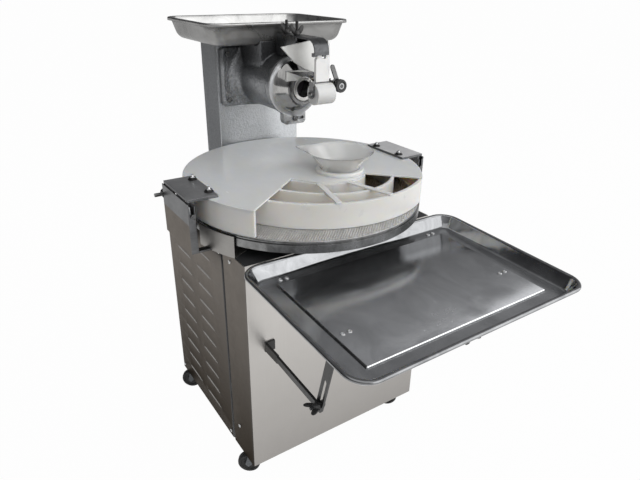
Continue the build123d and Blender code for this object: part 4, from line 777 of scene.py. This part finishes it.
# Fasteners: threaded studs, wing nuts and pan-head screws with a cross recess
THREAD = 0.00125
THREAD_CREST, THREAD_ROOT = (1.0, 0.25), (0.84, 0.75)
STUD_TIP = 0.8
STUD_STEPS = 20
BOLT_RADIUS = 0.004
WING_HUB, WING_HUB_HEIGHT, WING_RISE = 0.008, 0.010, 0.014
WING_PROFILE = ((0.0, 0.0), (.96, 0.0), (1.0, .05), (1.0, .3), (.86, .62), (.74, .94), (.68, 1.0), (0.0, 1.0))
WING_STEPS = 28
EAR_UP, EAR_OUT = 0.0118, 0.0114
EAR_LEAN = (0.86, 0.51)
EAR_LENGTH, EAR_WIDTH, EAR_HALF = 0.0118, 0.0064, 0.0024
EAR_SEGMENTS, EAR_RINGS = 20, 12
PAN_PROFILE = ((1.0, 0.0), (1.0, 0.35), (0.93, 0.68), (0.75, 0.9))
PAN_STEPS = 24
CROSS_ARM, CROSS_WIDE, CROSS_DEEP, CROSS_TAPER = 0.52, 0.15, 0.55, 0.7


def stud(bm, foot, axis, length, threaded):
    """Adds a stud from its foot, with a thread over its last part."""
    profile = [(0.0, 0.0), (BOLT_RADIUS, 0.0), (BOLT_RADIUS, length - threaded)]
    for turn in range(int(threaded / THREAD)):
        start = length - threaded + turn * THREAD
        profile += [(BOLT_RADIUS * r, start + THREAD * t) for r, t in (THREAD_CREST, THREAD_ROOT)]
    profile += [(BOLT_RADIUS * STUD_TIP, length), (0.0, length)]
    lathe(bm, profile, foot, axis, STUD_STEPS)


def wing_nut(bm, base, axis, side):
    """Adds a nut with two rounded ears; the ears stand out to both ends of the side direction."""
    base, axis, side = Vector(base), Vector(axis), Vector(side)
    lathe(bm, [(WING_HUB * r, WING_HUB_HEIGHT * h) for r, h in WING_PROFILE], base, axis, WING_STEPS)
    across = axis.cross(side)
    for end in (-1, 1):
        long = (axis * EAR_LEAN[0] + side * end * EAR_LEAN[1]).normalized()
        wide = long.cross(across)
        centre = base + axis * EAR_UP + side * end * EAR_OUT
        turn = Matrix((long * EAR_LENGTH, wide * EAR_WIDTH, across * EAR_HALF)).transposed().to_4x4()
        bmesh.ops.create_uvsphere(bm, u_segments=EAR_SEGMENTS, v_segments=EAR_RINGS, radius=1.0,
                                  matrix=Matrix.Translation(centre) @ turn)


def pan_head(bm, place, axis, radius, height):
    along = Vector(axis).normalized()
    side = along.orthogonal().normalized()
    other = along.cross(side)
    arm, wide = radius * CROSS_ARM, radius * CROSS_WIDE
    lathe(bm, [(radius * r, height * h) for r, h in PAN_PROFILE], place, along, PAN_STEPS)
    top_radius, top_height = radius * PAN_PROFILE[-1][0], height * PAN_PROFILE[-1][1]
    rim = []
    for step in range(PAN_STEPS):
        angle = 2 * math.pi * step / PAN_STEPS
        out = side * math.cos(angle) + other * math.sin(angle)
        rim.append(bm.verts.new(place + out * top_radius + along * top_height))
    cross = []
    for k in range(4):
        turn = k * math.pi / 2
        for x, y in ((arm, -wide), (arm, wide), (wide, wide)):
            u = x * math.cos(turn) - y * math.sin(turn)
            v = x * math.sin(turn) + y * math.cos(turn)
            cross.append(side * u + other * v)
    upper = [bm.verts.new(place + c + along * height) for c in cross]
    floor = along * height * (1.0 - CROSS_DEEP)
    lower = [bm.verts.new(place + c * CROSS_TAPER + floor) for c in cross]
    edges = []
    for loop in (rim, upper):
        edges += [bm.edges.new((loop[i - 1], loop[i])) for i in range(len(loop))]
    bmesh.ops.triangle_fill(bm, edges=edges, use_beauty=True)
    for i in range(len(cross)):
        bm.faces.new((upper[i - 1], upper[i], lower[i], lower[i - 1]))
    bm.faces.new(lower)


def screw_set(node, name, material, body, slot):
    """Puts a pan head over each plain screw of a node, standing the way its thin side faces."""
    bm = bmesh.new()
    for low, high, corners in islands(node):
        middle = (low + high) / 2
        size = high - low
        thin = min(range(3), key=lambda i: size[i])
        if thin == 2:
            axis = TRAY_UP
        else:
            axis = Vector((0.0, 0.0, 0.0))
            axis[thin] = 1.0 if middle[thin] > 0 else -1.0
        reach = [(c - middle).dot(axis) for c in corners]
        radius = max((c - middle - axis * d).length for c, d in zip(corners, reach))
        foot = middle + axis * min(reach)
        pan_head(bm, foot, axis, radius, max(reach) - min(reach))
    bmesh.ops.remove_doubles(bm, verts=bm.verts, dist=TINY)
    add_piece(name, to_mesh(name, bm), material, body, slot, node)


# Lid clamps: stands with brushed outer walls, plates with dark edges, bolts with washers and nuts; the stands'
# dark steel and the plates' dark edges are painted shade
STAND_SPLIT = 0.052
STEEP = 0.5
LID_HEAD = ((0.0, 0.0), (0.0075, 0.0), (0.0075, 0.006), (0.0, 0.006))
WASHER = ((0.0, 0.0), (0.011, 0.0), (0.011, 0.0014), (0.0, 0.0014))
NUT = ((0.0, 0.0014), (0.0082, 0.0014), (0.0082, 0.0065), (0.007, 0.0075), (0.0, 0.0075))
NUT_HIGHLIGHT_HEIGHT = 0.0055


def clamp_stands():
    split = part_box("lid")[1][2] - STAND_SPLIT
    bm = joined("clamp_stands")
    whole = bm.verts[:] + bm.edges[:] + bm.faces[:]
    bmesh.ops.bisect_plane(bm, geom=whole, plane_co=(0, 0, split), plane_no=UP)
    name = "clamp_stands_folded"
    obj = add_piece(name, to_mesh(name, bm, False), finish["stand"], "body", "zinc", "clamp_stands", crease=30.0)
    # painted shade: the stands' lower outer walls take the darker side steel
    paint(obj, ("side",), lambda face: int(abs(face.normal.x) > STEEP and face.center.z < split))


def clamp_plates():
    obj = smooth_copy("clamp_plates", "clamp_plates_cut", "clamp", "lid", "zinc", 30.0)
    # painted light on the right plate's top; painted shade on the plates' edges
    paint(obj, ("stand", "lit_clamp"),
          lambda face: 1 if abs(face.normal.z) < STEEP else 2 * int(face.center.x > 0.0))


def lid_bolts():
    plate_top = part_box("clamp_plates")[1][2]
    bm = bmesh.new()
    for low, high, _ in islands("lid_bolts"):
        middle = (low + high) / 2
        foot = (middle.x, middle.y, low.z)
        seat = (middle.x, middle.y, plate_top)
        stud(bm, foot, UP, high.z - low.z, high.z - plate_top)
        lathe(bm, LID_HEAD, foot, UP, HEX_STEPS)
        lathe(bm, WASHER, seat, UP, ROUND_STEPS)
        lathe(bm, NUT, seat, UP, HEX_STEPS)
    name = "lid_bolts_turned"
    obj = add_piece(name, to_mesh(name, bm), finish["chrome"], "lid", "zinc", "lid_bolts")
    # washer and nut sides dark; the stud and the nut's top take chrome, a painted highlight on the nut's top
    paint(obj, ("dark",), lambda face: int(face.center.z < plate_top + NUT_HIGHLIGHT_HEIGHT))


# Small gauge wheel with a light hub and grooves
GAUGE_OUTLINE = ((.26, 1.0), (.46, 1.0), (.50, .72), (.62, .72), (.66, .95), (.90, 1.0), (.97, .86), (1.0, .62),
                 (.93, .3))
GAUGE_HUB = 0.48


def gauge_wheel():
    low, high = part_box("gauge_wheel")
    centre = (Vector(low) + Vector(high)) / 2
    radius = (high[2] - low[2]) / 2
    bm = bmesh.new()
    profile = both_halves(GAUGE_OUTLINE, radius, (high[1] - low[1]) / 2)
    lathe(bm, profile, centre, (0.0, 1.0, 0.0), WHEEL_STEPS, closed=True)
    name = "gauge_wheel_turned"
    obj = add_piece(name, to_mesh(name, bm), finish["black"], "gauge_wheel", "black_plastic", "gauge_wheel")

    def pick(face):
        off = face.center - centre
        return int(math.hypot(off.x, off.z) < radius * GAUGE_HUB)

    paint(obj, ("zinc",), pick)


# Studs on the strap and bolts in the tray's links, with wing nuts
STUD_HEAD = ((0.0, 0.0), (0.0072, 0.0), (0.0075, 0.0005), (0.0075, 0.006), (0.0, 0.006))
LINK_HEAD = ((0.0, 0.0), (0.007, 0.0), (0.0075, 0.0006), (0.0075, 0.006), (0.0, 0.006))
SHORT_STUD = 0.06
LINK_BOLT_TIP, LINK_BOLT_THREAD = 0.006, 0.02


def wing_studs():
    strap_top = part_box("cutter_bracket")[1][2]
    bm = bmesh.new()
    for low, high, _ in islands("wing_studs"):
        middle = (low + high) / 2
        foot = (middle.x, middle.y, low.z)
        stud(bm, foot, UP, high.z - low.z, high.z - strap_top)
        if high.z - low.z < SHORT_STUD:
            lathe(bm, STUD_HEAD, foot, UP, HEX_STEPS)
        wing_nut(bm, (middle.x, middle.y, strap_top), UP, (1, 0, 0))
    name = "wing_studs_turned"
    add_piece(name, to_mesh(name, bm), finish["dark"], "body", "bright_metal", "wing_studs")


def wing_bolts():
    bm = bmesh.new()
    for low, high, corners in islands("wing_bolts"):
        middle = (low + high) / 2
        end = 1 if middle.x > 0 else -1
        axis = (end, 0, 0)
        start = low.x if end > 0 else high.x
        foot = (start, middle.y, middle.z)
        nut = max(abs(c.x) for c in corners) - WING_HUB_HEIGHT - WING_RISE
        stud(bm, foot, axis, abs(nut * end - start) + WING_HUB_HEIGHT + LINK_BOLT_TIP, LINK_BOLT_THREAD)
        lathe(bm, LINK_HEAD, foot, axis, HEX_STEPS)
        wing_nut(bm, (nut * end, middle.y, middle.z), axis, (0, 1, 0))
    name = "wing_bolts_turned"
    add_piece(name, to_mesh(name, bm), finish["black"], "body", "zinc", "wing_bolts")


# Domed nut at the end of the roller's axle
CAP_PROFILE = ((0.0, 0.0), (0.0105, 0.0), (0.0105, 0.0012), (0.0075, 0.0014), (0.0072, 0.0044), (0.0045, 0.0062),
               (0.0, 0.0068))


def roller_cap():
    low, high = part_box("gauge_roller")
    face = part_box("roller_fork")[0][0]
    centre = (face, (low[1] + high[1]) / 2, (low[2] + high[2]) / 2)
    bm = bmesh.new()
    lathe(bm, CAP_PROFILE, centre, (-1, 0, 0), ROUND_STEPS)
    add_piece("roller_cap", to_mesh("roller_cap", bm), finish["smoked"], "gauge", "dark_steel")


# Tray pan swept round its outline with a rolled rim; the rim's points are millimetres inwards and up
TRAY_TILT = math.radians(1.9)
TRAY_UP = Vector((0.0, -math.sin(TRAY_TILT), math.cos(TRAY_TILT)))
TRAY_SHEET, TRAY_BEAD, TRAY_RIM, TRAY_INSET, TRAY_ROUND = 0.0015, 0.004, 0.009, 0.016, 0.009
TRAY_DEPTH, TRAY_LENGTH = 0.026, 0.420
TRAY_CORNER, LEAST_CORNER, CORNER_STEPS = 0.047, 0.004, 12
WALL_STEPS = 7
RIM_MM = (
    (10.4, -0.4), (9.9, 1.4), (8.6, 3.0), (6.8, 3.85), (5.0, 4.0), (3.2, 3.8), (1.5, 2.9), (0.4, 1.5), (0.0, 0.0),
    (0.35, -1.6), (1.4, -3.0), (3.0, -3.85), (5.0, -4.0), (10.0, -4.0), (11.6, -4.2),
)


def pan_side(shift, depth, round_off):
    """Gives the (inset, height) points of one skin from the flat floor up the wall, floor end first."""
    rise = math.atan2(TRAY_DEPTH, TRAY_INSET)
    foot = TRAY_RIM + shift + TRAY_INSET * depth / TRAY_DEPTH + round_off * math.tan(rise / 2)
    points = []
    for step in range(WALL_STEPS + 1):
        angle = rise * step / WALL_STEPS
        points.append((foot - round_off * math.sin(angle), -depth + round_off * (1 - math.cos(angle))))
    return points


def tray_pan():
    low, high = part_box("tray_pan")
    width = high[0] - low[0]
    top = Vector(((low[0] + high[0]) / 2, high[1], high[2]))
    along = Vector((0.0, math.cos(TRAY_TILT), math.sin(TRAY_TILT)))
    origin = top - TRAY_BEAD * Vector((0.0, math.sin(TRAY_TILT), math.cos(TRAY_TILT)))
    profile = pan_side(TRAY_SHEET, TRAY_DEPTH - TRAY_SHEET, TRAY_ROUND - TRAY_SHEET)
    profile += [(d / 1000, z / 1000) for d, z in RIM_MM]
    profile += pan_side(0.0, TRAY_DEPTH, TRAY_ROUND)[::-1]
    bm = bmesh.new()
    rings = []
    for inset, height in profile:
        radius = max(TRAY_CORNER - inset, LEAST_CORNER)
        half_x, half_y = width / 2 - inset - radius, TRAY_LENGTH / 2 - inset - radius
        ring = []
        for corner, (sx, sy) in enumerate(((1, 1), (-1, 1), (-1, -1), (1, -1))):
            for step in range(CORNER_STEPS + 1):
                angle = math.pi / 2 * (corner + step / CORNER_STEPS)
                x = sx * half_x + radius * math.cos(angle)
                y = sy * half_y + radius * math.sin(angle) - TRAY_LENGTH / 2
                ring.append(bm.verts.new(origin + Vector((x, 0, 0)) + along * y + TRAY_UP * height))
        rings.append(ring)
    for first, second in zip(rings, rings[1:]):
        for i in range(len(first)):
            j = (i + 1) % len(first)
            bm.faces.new((first[i], first[j], second[j], second[i]))
    bm.faces.new(rings[0])
    bm.faces.new(rings[-1])
    name = "tray_pan_rolled"
    obj = add_piece(name, to_mesh(name, bm), finish["rim"], "tray", "stainless_polished", "tray_pan", crease=40.0)

    # floor in tray steel, walls in rim steel, bead in its darker copy as painted shade
    def pick(face):
        rise = (face.center - origin).dot(TRAY_UP)
        return 1 if len(face.vertices) > 4 else 2 * int(rise > -TRAY_BEAD)

    paint(obj, ("tray", "bead"), pick)


# Plate in the tray, with a painted highlight on its front edge and painted shade on its side edges
LEVEL, EDGE_FACING = 0.9, -0.3


def tray_plate():
    def pick(face):
        edge = abs(face.normal.dot(TRAY_UP)) < LEVEL
        return int(edge) + int(edge and face.normal.y < EDGE_FACING)

    obj = smooth_copy("tray_plate", "tray_plate_cut", "tray", "tray", "stainless_polished", 30.0)
    paint(obj, ("smoked", "chrome"), pick)


knurl()
louvred_panel("left_panel", -1)
louvred_panel("right_panel", 1)
for tag in ("left_front", "left_rear", "right_front", "right_rear"):
    caster_wheel(tag)
barrel()
front_panel()
nose_cone()
hopper()
funnel()
column()
clamp_stands()
clamp_plates()
lid_bolts()
gauge_wheel()
wing_studs()
wing_bolts()
roller_cap()
tray_pan()
tray_plate()
screw_set("panel_screws", "panel_screw_heads", finish["bolt"], "body", "stainless_brushed")
screw_set("tray_screws", "tray_screw_heads", finish["chrome"], "tray", "stainless_polished")

# Floor, lamps and world
FLOOR_HALF = 400.0
FLOOR_GREY, FLOOR_WHITENESS = 0.65, 0.98
LAMP_TARGET = (0.0, 0.0, 0.7)
LAMPS = (
    ("key", (2.4, -3.4, 2.6), (8.0, 5.0), 190.0),
    ("top", (-1.0, -0.8, 3.4), (3.0, 3.0), 18.0),
)
SKY_TOWARDS = (0.45, -0.70, 0.55)
SKY_RAMP = ((0.25, (0.10, 0.10, 0.105, 1.0)), (0.95, (0.75, 0.75, 0.76, 1.0)))
SKY_STRENGTH = 0.7


def seen_directly(tree):
    """Gives 1 for rays from the camera, from a mirror-like surface or through clear material, and 0 for others."""
    path = add_node(tree, "LightPath")
    total = path.outputs["Is Camera Ray"]
    for kind in ("Is Glossy Ray", "Is Transmission Ray"):
        total = add_math(tree, "MAXIMUM", total, path.outputs[kind])
    return total


def mix_shaders(tree, fac, first, second):
    blend = add_node(tree, "MixShader", Fac=fac)
    tree.links.new(first.outputs[0], blend.inputs[1])
    tree.links.new(second.outputs[0], blend.inputs[2])
    return blend.outputs[0]


def add_floor():
    mesh = bpy.data.meshes.new("floor")
    corners = [(x * FLOOR_HALF, y * FLOOR_HALF, 0) for x, y in ((-1, -1), (1, -1), (1, 1), (-1, 1))]
    mesh.from_pydata(corners, [], [(0, 1, 2, 3)])
    floor = bpy.data.objects.new("floor", mesh)
    scene.collection.objects.link(floor)
    material = bpy.data.materials.new("floor_pale")
    material.use_nodes = True
    tree = material.node_tree
    tree.nodes.clear()
    matte = add_node(tree, "BsdfDiffuse", Color=(FLOOR_GREY, FLOOR_GREY, FLOOR_GREY))
    white = add_node(tree, "Emission", Strength=1.0)
    share = add_math(tree, "MULTIPLY", seen_directly(tree), FLOOR_WHITENESS)
    add_node(tree, "OutputMaterial", Surface=mix_shaders(tree, share, matte, white))
    coat(floor, material)


def add_lamp(name, place, size, power):
    data = bpy.data.lights.new(name, "AREA")
    data.shape = "RECTANGLE"
    data.size, data.size_y = size
    data.energy = power
    lamp = bpy.data.objects.new(name, data)
    lamp.location = place
    lamp.rotation_euler = (Vector(LAMP_TARGET) - Vector(place)).to_track_quat("-Z", "Y").to_euler()
    scene.collection.objects.link(lamp)


def add_world():
    """Gives a sky that is lighter towards the key lamp, behind a backdrop that the camera sees as white."""
    world = bpy.data.worlds.new("studio")
    scene.world = world
    world.use_nodes = True
    tree = world.node_tree
    coord = add_node(tree, "TexCoord")
    dot = add_node(tree, "VectorMath", (("operation", "DOT_PRODUCT"),))
    feed(tree, dot.inputs[0], coord.outputs["Generated"])
    feed(tree, dot.inputs[1], SKY_TOWARDS)
    scale = add_node(tree, "MapRange", From_Min=-1.0, From_Max=1.0, Value=dot.outputs["Value"])
    ramp = add_node(tree, "ValToRGB", Fac=scale.outputs["Result"])
    for element, (position, colour) in zip(ramp.color_ramp.elements, SKY_RAMP):
        element.position = position
        element.color = colour
    sky = tree.nodes["Background"]
    feed(tree, sky.inputs["Color"], ramp.outputs["Color"])
    feed(tree, sky.inputs["Strength"], SKY_STRENGTH)
    backdrop = add_node(tree, "Background", Color=WHITE)
    camera_ray = add_node(tree, "LightPath").outputs["Is Camera Ray"]
    feed(tree, tree.nodes["World Output"].inputs["Surface"], mix_shaders(tree, camera_ray, sky, backdrop))


add_camera()
add_floor()
for lamp in LAMPS:
    add_lamp(*lamp)
add_world()
scene.view_settings.view_transform = "Standard"
